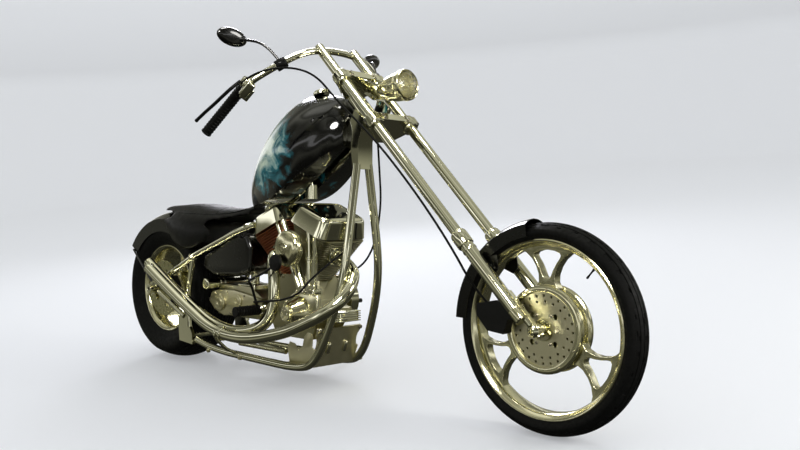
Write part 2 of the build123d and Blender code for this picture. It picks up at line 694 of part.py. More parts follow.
with BuildPart() as hand_levers:
    inboard = Vector(*grip_start) * 1.12 - Vector(*grip_end) * 0.12
    rod(grip_start, inboard, 21)
    rod((968, -352, 1150), (974, -392, 1176), 13)
    tube([(972, -384, 1170), (944, -428, 1130), (786, -446, 1036)], 5, [30])
    mirror(about=Plane.XZ)
    add(handlebar.part, mode=Mode.SUBTRACT)
    add(grips.part, mode=Mode.SUBTRACT)

with BuildPart() as brake_hose:
    tube([(970, -380, 1162), (1030, -350, 1215), (1120, -180, 1230), (1235, -132, 1090), (1400, -122, 960),
          (1600, -122, 770), (1760, -116, 585), (1840, -96, 450), (1890, -66, 392)],
         4, [60, 100, 120, 200, 300, 200, 100])
    add(caliper.part, mode=Mode.SUBTRACT)
    add(hand_levers.part, mode=Mode.SUBTRACT)

with BuildPart() as frame_cables:
    tube([(1262, 20, 1038), (1226, 74, 985), (1212, 98, 880), (1214, 112, 700), (1150, 116, 500), (1000, 104, 430),
          (970, 60, 380)], 4, [60, 200, 200, 150, 30])
    tube([(764, -144, 322), (806, -220, 336), (985, -222, 350), (1110, -214, 385), (1170, -212, 450), (1200, -80, 540)],
         4, [20, 100, 120, 60])
    for held in (neck, crankcase, cylinders, foot_controls, downtubes):
        add(held.part, mode=Mode.SUBTRACT)

# Ground below the leaning motorcycle, in the upright frame
tilt = radians(lean)


def axle_height(radius, tread_half, drop):
    crown = (tread_half ** 2 + drop ** 2) / (2 * drop)
    return (radius - crown) * cos(tilt) + crown


lift_rear = axle_height(rear_radius, rear_tread_half, rear_tread_drop) - rear_radius * cos(tilt)
lift_front = axle_height(front_radius, front_tread_half, tread_drop) - front_radius * cos(tilt)
nose = atan2(lift_rear - lift_front, wheelbase)
ground_up = Vector(-sin(nose), -cos(nose) * sin(tilt), cos(nose) * cos(tilt))


def ground_height(x, y):
    return (-lift_rear - x * ground_up.X - y * ground_up.Y) / ground_up.Z


# Side stand, on the left
stand_pivot = Vector(800, 168, 116)
stand_foot = (826, 350)
foot_point = Vector(stand_foot[0], stand_foot[1], ground_height(*stand_foot))
stand_down = foot_point - stand_pivot
stand_back = Vector(-0.96, 0.22, -0.04)
stand_axis = stand_down.cross(stand_back).normalized()
eye_half = 10
pin_radius = 8
with BuildPart() as stand_bracket:
    rod(stand_pivot - stand_axis * (eye_half + 9), stand_pivot - stand_axis * (eye_half + 1), 18)
    rod(stand_pivot - stand_axis * (eye_half + 9), stand_pivot + stand_axis * (eye_half + 8), pin_radius)
    rod(stand_pivot + stand_axis * (eye_half + 1), stand_pivot + stand_axis * (eye_half + 8), 13)
    rod((800, rail_half + 2, 91), stand_pivot - stand_axis * (eye_half + 6), 9)
    add(downtubes.part, mode=Mode.SUBTRACT)

with BuildPart() as side_stand:
    rod(stand_pivot - stand_axis * eye_half, stand_pivot + stand_axis * eye_half, 17)
    rod(stand_pivot + stand_down * 0.05, foot_point + ground_up * 5, 9.5)
    with BuildSketch(Plane(foot_point, z_dir=ground_up)):
        Circle(28)
    extrude(amount=7)
    rod(stand_pivot - stand_axis * 20, stand_pivot + stand_axis * 20, pin_radius + running_gap, Mode.SUBTRACT)

pieces = {
    "front_tyre": front_tyre, "front_rim": front_rim, "front_disc": front_disc, "rear_tyre": rear_tyre,
    "rear_rim": rear_rim, "rear_pulley": rear_pulley, "drive_belt": drive_belt, "rear_axle": rear_axle,
    "front_axle": front_axle, "fork_tubes": fork_tubes, "fork_legs": fork_legs, "upper_clamp": upper_clamp,
    "lower_clamp": lower_clamp, "neck": neck, "backbone": backbone, "downtubes": downtubes,
    "upper_stays": upper_stays, "lower_stays": lower_stays, "skid_plate": skid_plate, "crankcase": crankcase,
    "cylinders": cylinders, "rocker_covers": rocker_covers, "pushrod_tubes": pushrod_tubes,
    "carburettor": carburettor, "air_cleaner": air_cleaner, "cam_cover": cam_cover, "gearbox": gearbox,
    "starter": starter, "primary_cover": primary_cover, "exhaust_pipes": exhaust_pipes,
    "exhaust_bracket": exhaust_bracket, "canister": canister, "fuel_tank": fuel_tank, "seat": seat,
    "oil_tank": oil_tank, "rear_fender": rear_fender, "tail_lamp": tail_lamp, "foot_controls": foot_controls,
    "handlebar": handlebar, "grips": grips, "mirrors": mirrors, "headlight": headlight,
    "headlight_lens": headlight_lens, "front_fender": front_fender, "caliper": caliper,
    "hand_levers": hand_levers, "lamp_bracket": lamp_bracket, "filler_cap": filler_cap,
    "rear_disc": rear_disc, "rear_caliper": rear_caliper, "brake_hose": brake_hose, "frame_cables": frame_cables,
    "stand_bracket": stand_bracket, "side_stand": side_stand,
}

# Parking: lean to the left, then a slight turn so that both tyres meet the ground
stood = Location((0, 0, lift_rear)) * Location((0, 0, 0), (0, degrees(nose), 0)) * Location((0, 0, 0), (-lean, 0, 0))
boxes = [piece.part.moved(stood).bounding_box() for piece in pieces.values()]
middle_x = (min(box.min.X for box in boxes) + max(box.max.X for box in boxes)) / 2
middle_y = (min(box.min.Y for box in boxes) + max(box.max.Y for box in boxes)) / 2
parked = Location((-middle_x, -middle_y, 0)) * stood
os.makedirs("parts", exist_ok=True)
for label, piece in pieces.items():
    piece.part = piece.part.moved(parked)
    piece.part.label = label
    export_step(piece.part, f"parts/{label}.step")
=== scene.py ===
import json
from math import atan2, cos, pi, radians, sin, tan
import bmesh
import bpy
from mathutils import Matrix, Vector

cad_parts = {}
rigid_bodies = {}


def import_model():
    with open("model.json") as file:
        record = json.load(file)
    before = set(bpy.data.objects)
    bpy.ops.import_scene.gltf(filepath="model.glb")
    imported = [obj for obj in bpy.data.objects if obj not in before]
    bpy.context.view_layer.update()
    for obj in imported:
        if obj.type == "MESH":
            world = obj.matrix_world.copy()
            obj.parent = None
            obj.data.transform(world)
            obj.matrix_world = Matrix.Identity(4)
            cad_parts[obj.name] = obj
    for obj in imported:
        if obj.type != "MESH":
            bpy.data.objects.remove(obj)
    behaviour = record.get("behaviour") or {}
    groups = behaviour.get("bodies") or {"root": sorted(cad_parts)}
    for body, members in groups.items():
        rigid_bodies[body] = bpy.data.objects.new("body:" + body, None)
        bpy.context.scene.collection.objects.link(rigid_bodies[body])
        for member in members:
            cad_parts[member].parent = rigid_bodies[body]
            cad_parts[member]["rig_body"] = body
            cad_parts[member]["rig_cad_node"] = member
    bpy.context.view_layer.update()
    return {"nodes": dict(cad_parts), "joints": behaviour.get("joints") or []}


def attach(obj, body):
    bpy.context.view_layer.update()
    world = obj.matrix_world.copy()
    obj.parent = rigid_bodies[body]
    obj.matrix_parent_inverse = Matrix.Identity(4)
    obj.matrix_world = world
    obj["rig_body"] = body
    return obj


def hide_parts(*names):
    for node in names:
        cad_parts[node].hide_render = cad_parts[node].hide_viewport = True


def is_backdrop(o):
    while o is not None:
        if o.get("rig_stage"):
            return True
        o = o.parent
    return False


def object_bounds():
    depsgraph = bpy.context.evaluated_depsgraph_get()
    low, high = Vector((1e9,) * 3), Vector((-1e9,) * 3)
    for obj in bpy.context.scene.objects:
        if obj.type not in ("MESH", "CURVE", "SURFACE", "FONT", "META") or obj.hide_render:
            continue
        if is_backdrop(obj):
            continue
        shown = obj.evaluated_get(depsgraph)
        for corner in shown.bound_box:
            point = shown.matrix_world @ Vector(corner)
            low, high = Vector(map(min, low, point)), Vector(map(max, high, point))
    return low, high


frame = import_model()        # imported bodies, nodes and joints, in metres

print("frame loaded")

# Everything new is modelled upright, x forward, y to the rider's left, z up from the ground below the rear
# axle, and then leant with the parked motorcycle by this matrix.
hubs = dict(wheelbase=2.065, front=0.334, rear=0.3285)
joints = {joint["name"]: joint for joint in frame["joints"]}
frontHub = Vector(joints["front_wheel_spin"]["pos_m"])
rearHub = Vector(joints["rear_wheel_spin"]["pos_m"])
across = Vector(joints["rear_wheel_spin"]["axis"]).normalized()
along = (frontHub - rearHub).normalized()
hubRise = atan2(hubs["front"] - hubs["rear"], hubs["wheelbase"])
squareUp = along.cross(across).normalized()
forward = along * cos(hubRise) - squareUp * sin(hubRise)
up = squareUp * cos(hubRise) + along * sin(hubRise)
footPoint = rearHub - up * hubs["rear"]
parked = Matrix((
    (forward.x, across.x, up.x, footPoint.x),
    (forward.y, across.y, up.y, footPoint.y),
    (forward.z, across.z, up.z, footPoint.z),
    (0, 0, 0, 1)))
frontAxle = Vector((hubs["wheelbase"], 0, hubs["front"]))
rearAxle = Vector((0, 0, hubs["rear"]))
leftward = Vector((0, 1, 0))
rightward = Vector((0, -1, 0))

# Camera: where the photograph was taken from, in the upright frame
shot = dict(place=(3.5626, -2.2642, 0.7012), yaw=2.3288, pitch=-0.0172, roll=0.0077, lens=38.5165)
lookAt = Vector((cos(shot["pitch"]) * cos(shot["yaw"]), cos(shot["pitch"]) * sin(shot["yaw"]),
                 sin(shot["pitch"])))
levelRight = lookAt.cross(Vector((0, 0, 1))).normalized()
levelUp = levelRight.cross(lookAt)
cameraRight = levelRight * cos(shot["roll"]) + levelUp * sin(shot["roll"])
cameraUp = levelUp * cos(shot["roll"]) - levelRight * sin(shot["roll"])
cameraData = bpy.data.cameras.new("camera")
cameraData.lens = shot["lens"]
cameraData.sensor_width = 36
cameraData.clip_start = 0.05
camera = bpy.data.objects.new("camera", cameraData)
bpy.context.scene.collection.objects.link(camera)
bpy.context.scene.camera = camera
camera.matrix_world = parked @ Matrix((
    (cameraRight.x, cameraUp.x, -lookAt.x, shot["place"][0]),
    (cameraRight.y, cameraUp.y, -lookAt.y, shot["place"][1]),
    (cameraRight.z, cameraUp.z, -lookAt.z, shot["place"][2]),
    (0, 0, 0, 1)))
print("camera placed")


# Materials

def hexColour(code):
    channels = [int(code[i:i + 2], 16) / 255 for i in (0, 2, 4)]
    return [c / 12.92 if c <= 0.04045 else ((c + 0.055) / 1.055) ** 2.4 for c in channels] + [1.0]


def addNode(tree, kind, settings=(), values=(), links=()):
    node = tree.nodes.new(kind)
    for name, value in dict(settings).items():
        setattr(node, name, value)
    for socket, value in dict(values).items():
        node.inputs[socket].default_value = value
    for socket, source in dict(links).items():
        tree.links.new(source, node.inputs[socket])
    return node


def startMaterial(name, constants):
    material = bpy.data.materials.new(name)
    material.use_nodes = True
    tree = material.node_tree
    shader = tree.nodes["Principled BSDF"]
    for socket, value in constants.items():
        shader.inputs[socket].default_value = value
    return material, tree, shader


def perMetre(millimetres):
    return 1000 / millimetres      # noise scale for a pattern of that size


def noiseOf(tree, millimetres, detail=2.0, stretch=None):
    coords = addNode(tree, "ShaderNodeTexCoord").outputs["Object"]
    if stretch:
        coords = addNode(tree, "ShaderNodeMapping", values={"Scale": stretch},
                         links={"Vector": coords}).outputs["Vector"]
    return addNode(tree, "ShaderNodeTexNoise", values={"Scale": perMetre(millimetres), "Detail": detail},
                   links={"Vector": coords}).outputs["Fac"]


def spread(tree, source, low, high, start=0.3, end=0.7):
    return addNode(tree, "ShaderNodeMapRange",
                   values={"From Min": start, "From Max": end, "To Min": low, "To Max": high},
                   links={"Value": source}).outputs["Result"]


def bumpOf(tree, shader, height, strength, distance, after=None):
    links = {"Height": height}
    if after:
        links["Normal"] = after
    bump = addNode(tree, "ShaderNodeBump", values={"Strength": strength, "Distance": distance}, links=links)
    tree.links.new(bump.outputs["Normal"], shader.inputs["Normal"])
    return bump.outputs["Normal"]


def roughen(tree, shader, millimetres, detail, low, high):
    tree.links.new(spread(tree, noiseOf(tree, millimetres, detail), low, high), shader.inputs["Roughness"])


def mixOf(tree, factor, first, second):
    mix = addNode(tree, "ShaderNodeMix", {"data_type": "RGBA"}, links={0: factor})
    for socket, value in ((6, first), (7, second)):
        if isinstance(value, bpy.types.NodeSocket):
            tree.links.new(value, mix.inputs[socket])
        else:
            mix.inputs[socket].default_value = value
    return mix.outputs[2]


def makeMetal(name, colour, roughness, wander, rippleMm=90, ripple=0.02, grainMm=0, grain=0.0):
    material, tree, shader = startMaterial(name, {"Base Color": hexColour(colour), "Metallic": 1.0})
    roughen(tree, shader, 24, 4, roughness, roughness + wander)
    first = bumpOf(tree, shader, noiseOf(tree, rippleMm, 1), ripple, 0.01)
    if grainMm:
        bumpOf(tree, shader, noiseOf(tree, grainMm, 3), grain, 0.001, first)
    return material


finishes = {}
# Chrome plate over polished steel: mirror sharp, with the faint waviness of hand polishing
finishes["chrome"] = makeMetal("chromePlate", "E2E0C6", roughness=0.05, wander=0.04, rippleMm=160,
                               ripple=0.01)
# Polished aluminium castings: slightly softer reflections, warm
finishes["polishedAluminium"] = makeMetal("polishedAluminium", "E4E0BE", roughness=0.16, wander=0.07,
                                          rippleMm=80, ripple=0.02, grainMm=2.5, grain=0.02)
# Buffed aluminium covers and plates: broad soft highlights that read as cream
finishes["buffedAluminium"] = makeMetal("buffedAluminium", "F2ECCB", roughness=0.34, wander=0.1,
                                        rippleMm=60, ripple=0.02, grainMm=2.0, grain=0.04)
# Sand-cast aluminium case, lightly blasted
finishes["castAluminium"] = makeMetal("castAluminium", "B9B596", roughness=0.30, wander=0.12, rippleMm=50,
                                      ripple=0.03, grainMm=1.6, grain=0.12)
# Ground steel of the brake discs
finishes["groundSteel"] = makeMetal("groundSteel", "C9C59C", roughness=0.22, wander=0.1, rippleMm=80,
                                    ripple=0.01, grainMm=3, grain=0.02)
# Copper, dulled by heat, for the rear cylinder's fins
finishes["copper"] = makeMetal("copperGasket", "D98A66", roughness=0.36, wander=0.1)
# Zinc-plated small bolts
finishes["bolt"] = makeMetal("platedSteel", "C9C4B4", roughness=0.14, wander=0.1)

# Mirror glass, silvered behind
mirrorGlass, tree, shader = startMaterial("silveredGlass", {
    "Base Color": hexColour("E8ECEE"), "Metallic": 1.0})
roughen(tree, shader, 30, 3, 0.01, 0.04)
finishes["mirrorGlass"] = mirrorGlass


# Black base coat under clear lacquer: deep, with a faint orange peel
lacquer = dict(base="020203", coat=0.03, peelMm=4, peel=0.03)


def makeLacquer(name):
    material, tree, shader = startMaterial(name, {
        "Base Color": hexColour(lacquer["base"]), "Specular IOR Level": 0.2, "Coat Weight": 1.0,
        "Coat Roughness": lacquer["coat"]})
    roughen(tree, shader, 60, 3, 0.22, 0.34)
    peel = addNode(tree, "ShaderNodeBump", values={"Strength": lacquer["peel"], "Distance": 0.001},
                   links={"Height": noiseOf(tree, lacquer["peelMm"], 1)})
    tree.links.new(peel.outputs["Normal"], shader.inputs["Coat Normal"])
    return material, tree, shader


finishes["lacquer"] = makeLacquer("blackLacquer")[0]
toBike = parked.inverted()


# The upright frame's coordinates on a piece that leans with the motorcycle
def bikeSpace(tree):
    return addNode(tree, "ShaderNodeMapping", {"vector_type": "POINT"},
                   {"Location": toBike.translation, "Rotation": toBike.to_euler()},
                   {"Vector": addNode(tree, "ShaderNodeTexCoord").outputs["Object"]}).outputs["Vector"]


# Tank lacquer: an airbrushed cloud in teal that fades to cream at its heart, on the rear half of each side
tankPaint = dict(centre=(0.81, 0.0, 0.950), reach=(0.165, 1.0, 0.180), teal="1F6F78", cream="C9D8C0",
                 mistMm=70, twist=1.2, ragged=-1.9, fill=1.85, tealEdge=(-0.15, 0.35),
                 creamEdge=(0.25, 0.75))
tankLacquer, tree, shader = makeLacquer("tankLacquer")
bikeCoords = bikeSpace(tree)
mist = addNode(tree, "ShaderNodeTexNoise", links={"Vector": bikeCoords}, values={
    "Scale": perMetre(tankPaint["mistMm"]), "Detail": 6.0, "Distortion": tankPaint["twist"]})
shifted = addNode(tree, "ShaderNodeVectorMath", {"operation": "SUBTRACT"}, {1: tankPaint["centre"]},
                  {0: bikeCoords})
scaled = addNode(tree, "ShaderNodeVectorMath", {"operation": "DIVIDE"}, {1: tankPaint["reach"]},
                 {0: shifted.outputs["Vector"]})
flattened = addNode(tree, "ShaderNodeVectorMath", {"operation": "MULTIPLY"}, {1: (1, 0, 1)},
                    {0: scaled.outputs["Vector"]})
reach = addNode(tree, "ShaderNodeVectorMath", {"operation": "LENGTH"},
                links={0: flattened.outputs["Vector"]})
cloud = addNode(tree, "ShaderNodeMath", {"operation": "MULTIPLY_ADD"},
                {1: tankPaint["ragged"], 2: tankPaint["fill"]}, {0: mist.outputs["Fac"]})
edge = addNode(tree, "ShaderNodeMath", {"operation": "SUBTRACT"},
               links={0: cloud.outputs[0], 1: reach.outputs["Value"]})
tealMask = spread(tree, edge.outputs[0], 0.0, 1.0, *tankPaint["tealEdge"])
creamMask = spread(tree, edge.outputs[0], 0.0, 1.0, *tankPaint["creamEdge"])
teal = mixOf(tree, tealMask, hexColour(lacquer["base"]), hexColour(tankPaint["teal"]))
tree.links.new(mixOf(tree, creamMask, teal, hexColour(tankPaint["cream"])), shader.inputs["Base Color"])
finishes["tankLacquer"] = tankLacquer

# Fender lacquer: two soft teal stripes run along the crown
fenderPaint = dict(inner=0.028, outer=0.058, soft=0.006, teal="2F7D86")
fenderLacquer, tree, shader = makeLacquer("fenderLacquer")
sideways = addNode(tree, "ShaderNodeSeparateXYZ", links={"Vector": bikeSpace(tree)}).outputs["Y"]
offside = addNode(tree, "ShaderNodeMath", {"operation": "ABSOLUTE"}, links={0: sideways}).outputs[0]
insideEdge = spread(tree, offside, 0.0, 1.0, fenderPaint["inner"] - fenderPaint["soft"],
                    fenderPaint["inner"])
outsideEdge = spread(tree, offside, 1.0, 0.0, fenderPaint["outer"],
                     fenderPaint["outer"] + fenderPaint["soft"])
stripe = addNode(tree, "ShaderNodeMath", {"operation": "MULTIPLY"}, links={0: insideEdge, 1: outsideEdge})
streaks = spread(tree, noiseOf(tree, 40, 5), 0.35, 1.0)
stripeMask = addNode(tree, "ShaderNodeMath", {"operation": "MULTIPLY"},
                     links={0: stripe.outputs[0], 1: streaks})
tree.links.new(mixOf(tree, stripeMask.outputs[0], hexColour(lacquer["base"]),
                     hexColour(fenderPaint["teal"])), shader.inputs["Base Color"])
finishes["fenderLacquer"] = fenderLacquer

# Satin black stove enamel on the calipers and small brackets
satinBlack, tree, shader = startMaterial("satinBlackEnamel", {
    "Base Color": hexColour("070708"), "Specular IOR Level": 0.35})
roughen(tree, shader, 12, 4, 0.34, 0.5)
bumpOf(tree, shader, noiseOf(tree, 1.2, 2), 0.12, 0.0006)
finishes["satinBlack"] = satinBlack

# Tyre rubber: matt, slightly dusty in the grain
tyreRubber, tree, shader = startMaterial("tyreRubber", {"Specular IOR Level": 0.25})
dust = spread(tree, noiseOf(tree, 18, 5), 0.0, 1.0)
tree.links.new(mixOf(tree, dust, hexColour("060605"), hexColour("0B0B0A")), shader.inputs["Base Color"])
roughen(tree, shader, 10, 3, 0.5, 0.72)
bumpOf(tree, shader, noiseOf(tree, 1.0, 3), 0.2, 0.0005)
finishes["tyreRubber"] = tyreRubber

# Moulded rubber of grips, pegs, belt and hose skins
mouldedRubber, tree, shader = startMaterial("mouldedRubber", {
    "Base Color": hexColour("050505"), "Specular IOR Level": 0.3})
roughen(tree, shader, 8, 3, 0.42, 0.6)
bumpOf(tree, shader, noiseOf(tree, 0.9, 2), 0.15, 0.0004)
finishes["rubber"] = mouldedRubber

# Seat leather: fine pebbled grain about 1.9 mm across, waxed sheen
seatLeather, tree, shader = startMaterial("seatLeather", {"Specular IOR Level": 0.3})
coords = addNode(tree, "ShaderNodeTexCoord").outputs["Object"]
pebble = addNode(tree, "ShaderNodeTexVoronoi", {"feature": "F1"}, {"Scale": perMetre(1.9)},
                 {"Vector": coords})
wear = spread(tree, noiseOf(tree, 45, 4), 0.0, 1.0)
tree.links.new(mixOf(tree, wear, hexColour("040403"), hexColour("0A0908")), shader.inputs["Base Color"])
roughen(tree, shader, 30, 3, 0.34, 0.5)
creases = bumpOf(tree, shader, noiseOf(tree, 22, 4), 0.12, 0.004)
bumpOf(tree, shader, pebble.outputs["Distance"], 0.25, 0.0006, creases)
finishes["leather"] = seatLeather

# Clear moulded lens glass and red acrylic
lampGlass, tree, shader = startMaterial("lampGlass", {
    "Base Color": hexColour("F4F2E4"), "Transmission Weight": 1.0, "IOR": 1.5})
roughen(tree, shader, 20, 2, 0.02, 0.06)
finishes["lampGlass"] = lampGlass
redAcrylic, tree, shader = startMaterial("redAcrylic", {
    "Base Color": hexColour("8A0A0C"), "Transmission Weight": 0.35, "IOR": 1.49, "Coat Weight": 0.6})
roughen(tree, shader, 15, 2, 0.08, 0.16)
finishes["redAcrylic"] = redAcrylic
print("materials made")


# Tools

def deselectAll():
    if bpy.context.object and bpy.context.object.mode != "OBJECT":
        bpy.ops.object.mode_set(mode="OBJECT")
    bpy.ops.object.select_all(action="DESELECT")


def activate(piece):
    deselectAll()
    piece.select_set(True)
    bpy.context.view_layer.objects.active = piece


def editAll(piece):
    activate(piece)
    bpy.ops.object.mode_set(mode="EDIT")
    bpy.ops.mesh.select_all(action="SELECT")


def pickFaces(piece, test):
    bpy.ops.mesh.select_mode(type="FACE")
    bpy.ops.mesh.select_all(action="DESELECT")
    shape = bmesh.from_edit_mesh(piece.data)
    for face in shape.faces:
        face.select = bool(test(face.calc_center_median(), face.normal))
    shape.select_flush_mode()
    bmesh.update_edit_mesh(piece.data)


def pickEdges(piece, test):
    bpy.ops.mesh.select_mode(type="EDGE")
    bpy.ops.mesh.select_all(action="DESELECT")
    shape = bmesh.from_edit_mesh(piece.data)
    for edge in shape.edges:
        edge.select = bool(test(edge.verts[0].co, edge.verts[1].co))
    bmesh.update_edit_mesh(piece.data)


def finishEdit(angle=35):
    bpy.ops.object.mode_set(mode="OBJECT")
    bpy.ops.object.shade_smooth_by_angle(angle=radians(angle))


# Which of the equal steps round an axis a direction falls on
def stepOf(rise, run, steps):
    return int((atan2(rise, run) / (2 * pi) + 1) * steps + 0.5)


def aimAt(axis, start=(0, 0, 1)):
    return Vector(start).rotation_difference(Vector(axis).normalized()).to_matrix().to_4x4()


# A chain of edges drawn out of one vertex through the given places, left selected in edit mode
def drawChain(name, places):
    deselectAll()
    bpy.ops.mesh.primitive_plane_add(size=0.01, location=(0, 0, 0))
    piece = bpy.context.object
    piece.name = name
    bpy.ops.object.mode_set(mode="EDIT")
    bpy.ops.mesh.select_mode(type="VERT")
    bpy.ops.mesh.select_all(action="SELECT")
    bpy.ops.mesh.merge(type="CENTER")
    last = places[0]
    bpy.ops.transform.translate(value=last)
    for place in places[1:]:
        bpy.ops.mesh.extrude_vertices_move(
            TRANSFORM_OT_translate={"value": [b - a for a, b in zip(last, place)]})
        last = place
    bpy.ops.mesh.select_all(action="SELECT")
    return piece


# One lathe-turned piece: the profile is pairs of distance along the axis and radius
def turnPiece(name, profile, centre, axis, steps=64, angle=35):
    piece = drawChain(name, [(radius, 0, reach) for reach, radius in profile])
    bpy.ops.mesh.spin(steps=steps, angle=2 * pi, center=(0, 0, 0), axis=(0, 0, 1))
    bpy.ops.mesh.select_all(action="SELECT")
    bpy.ops.mesh.remove_doubles(threshold=1e-5)
    bpy.ops.mesh.normals_make_consistent(inside=False)
    finishEdit(angle)
    piece.data.transform(Matrix.Translation(centre) @ aimAt(axis))
    return piece


def makeBlock(name, centre, size, rounding, segments=3, turn=None):
    deselectAll()
    bpy.ops.mesh.primitive_cube_add(size=1, location=(0, 0, 0))
    piece = bpy.context.object
    piece.name = name
    piece.data.transform(Matrix.Diagonal((*size, 1)))
    editAll(piece)
    bpy.ops.mesh.bevel(offset=rounding, segments=segments, affect="EDGES")
    finishEdit(40)
    piece.data.transform(Matrix.Translation(centre) @ (turn or Matrix.Identity(4)))
    return piece


# A plate from its (x, z) outline, between two distances to the left
def makePlate(name, outline, near, far, rounding):
    piece = drawChain(name, [(x, near, z) for x, z in outline + outline[:1]])
    bpy.ops.mesh.remove_doubles(threshold=1e-5)
    bpy.ops.mesh.select_all(action="SELECT")
    bpy.ops.mesh.edge_face_add()
    bpy.ops.mesh.extrude_region_move(TRANSFORM_OT_translate={"value": (0, far - near, 0)})
    bpy.ops.mesh.select_all(action="SELECT")
    bpy.ops.mesh.normals_make_consistent(inside=False)
    bpy.ops.mesh.bevel(offset=rounding, segments=2, affect="EDGES", clamp_overlap=True)
    finishEdit(35)
    return piece


def makeTube(name, points, radius):
    deselectAll()
    line = bpy.data.curves.new(name, "CURVE")
    line.dimensions = "3D"
    line.bevel_depth = radius
    line.bevel_resolution = 7
    line.resolution_u = 10
    line.use_fill_caps = True
    spline = line.splines.new("NURBS")
    spline.points.add(len(points) - 1)
    for point, place in zip(spline.points, points):
        point.co = (*place, 1)
    spline.order_u = 3
    spline.use_endpoint_u = True
    piece = bpy.data.objects.new(name, line)
    bpy.context.scene.collection.objects.link(piece)
    return piece


def meshTube(name, points, radius):
    piece = makeTube(name, points, radius)
    activate(piece)
    bpy.ops.object.convert(target="MESH")
    piece = bpy.context.object
    bpy.ops.object.shade_smooth_by_angle(angle=radians(50))
    return piece


def copyPiece(piece, matrix, name):
    twin = piece.copy()
    twin.data = piece.data.copy()
    twin.name = name
    bpy.context.scene.collection.objects.link(twin)
    twin.data.transform(matrix)
    if matrix.determinant() < 0:
        twin.data.flip_normals()
    return twin


def joinPieces(pieces, name):
    deselectAll()
    for piece in pieces:
        piece.select_set(True)
    bpy.context.view_layer.objects.active = pieces[0]
    bpy.ops.object.join()
    bpy.context.object.name = name
    return bpy.context.object


mirrorSide = Matrix.Diagonal((1, -1, 1, 1))
bothSides = ((-1, rightward, "Right"), (1, leftward, "Left"))


# Leans a finished piece with the motorcycle and hands it to its body
def settle(piece, body, finish, leant=True, stands=()):
    if leant:
        piece.data.transform(parked)
    piece.data.materials.clear()
    piece.data.materials.append(finishes[finish])
    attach(piece, body)
    if stands:
        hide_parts(*stands)
    return piece


# The right-hand piece and its mirrored twin on the left
def settlePair(piece, twinName, body, finish, stands=()):
    twin = copyPiece(piece, mirrorSide, twinName)
    settle(piece, body, finish, stands=stands)
    settle(twin, body, finish)


def applyModifier(piece, name, kind, settings):
    modifier = piece.modifiers.new(name, kind)
    for key, value in settings.items():
        setattr(modifier, key, value)
    bpy.ops.object.modifier_apply(modifier=name)


# A loose copy of a CAD node, its doubles merged, left in edit mode
def copyNode(node, name):
    source = frame["nodes"][node]
    piece = source.copy()
    piece.data = source.data.copy()
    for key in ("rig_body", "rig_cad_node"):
        if key in piece:
            del piece[key]
    piece.parent = None
    piece.name = name
    bpy.context.scene.collection.objects.link(piece)
    editAll(piece)
    bpy.ops.mesh.remove_doubles(threshold=0.00002)
    return piece


dressing = dict(rounding=0.0012, angle=30, flat=0.6)


# A CAD node's shape with flat faces merged, its edges rounded and its faces shaded smooth
def dressNode(node, finish):
    piece = copyNode(node, node + "Dressed")
    bpy.ops.mesh.dissolve_limited(angle_limit=radians(dressing["flat"]))
    finishEdit(dressing["angle"])
    applyModifier(piece, "roundedEdges", "BEVEL", {
        "width": dressing["rounding"], "segments": 2, "limit_method": "ANGLE",
        "angle_limit": radians(dressing["angle"]), "harden_normals": False})
    bpy.ops.object.shade_smooth_by_angle(angle=radians(dressing["angle"]))
    settle(piece, frame["nodes"][node]["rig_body"], finish, False, [node])


# Cables and hoses first: both ends go back into the motorcycle
cables = dict(
    brake=[(0.970, -0.380, 1.162), (1.030, -0.350, 1.215), (1.120, -0.180, 1.230), (1.235, -0.132, 1.090),
           (1.400, -0.122, 0.960), (1.600, -0.122, 0.770), (1.760, -0.116, 0.585), (1.840, -0.096, 0.450),
           (1.890, -0.066, 0.392)],
    clutch=[(1.262, 0.020, 1.038), (1.226, 0.074, 0.985), (1.212, 0.098, 0.880), (1.214, 0.112, 0.700),
            (1.150, 0.116, 0.500), (1.000, 0.104, 0.430), (0.970, 0.060, 0.380)],
    pedal=[(0.764, -0.144, 0.322), (0.806, -0.220, 0.336), (0.985, -0.222, 0.350), (1.110, -0.214, 0.385),
           (1.170, -0.212, 0.450), (1.200, -0.080, 0.540)],
    radius=0.004)


def splineLength(points):
    probe = makeTube("probe", points, 0.0)
    mesh = bpy.data.meshes.new_from_object(probe)
    total = sum((mesh.vertices[e.vertices[0]].co - mesh.vertices[e.vertices[1]].co).length
                for e in mesh.edges)
    bpy.data.objects.remove(probe)
    return total


for cable, body, node in (("brake", "steering", "brake_hose"), ("clutch", "root", "frame_cables"),
                          ("pedal", "root", "frame_cables")):
    route = [parked @ Vector(place) for place in cables[cable]]
    hose = makeTube(cable + "Cable", route, cables["radius"])
    hose.data.materials.append(finishes["rubber"])
    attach(hose, body)
    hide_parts(node)
    round(splineLength(route), 3)
print("cables made")


# Small turned bolts, one pattern copied to each seat
def boltSet(name, spots, body, radius, finish="bolt"):
    profile = [(0, 0), (0, 1.35), (0.2, 1.35), (0.3, 1.2), (0.3, 1.0), (0.95, 1.0), (1.1, 0.85),
               (1.1, 0.55), (0.6, 0.5), (0.6, 0)]
    pattern = turnPiece(name, [(reach * radius, wide * radius) for reach, wide in profile], (0, 0, 0),
                        (0, 0, 1), 14, 40)
    copies = [copyPiece(pattern, Matrix.Translation(place) @ aimAt(axis), name) for place, axis in spots]
    bpy.data.objects.remove(pattern)
    return settle(joinPieces(copies, name), body, finish)


def ringSpots(centre, axis, radius, count, first=0.0):
    turn = aimAt(axis)
    return [(Vector(centre) + turn @ Vector((radius * cos(first + 2 * pi * i / count),
                                             radius * sin(first + 2 * pi * i / count), 0)), axis)
            for i in range(count)]


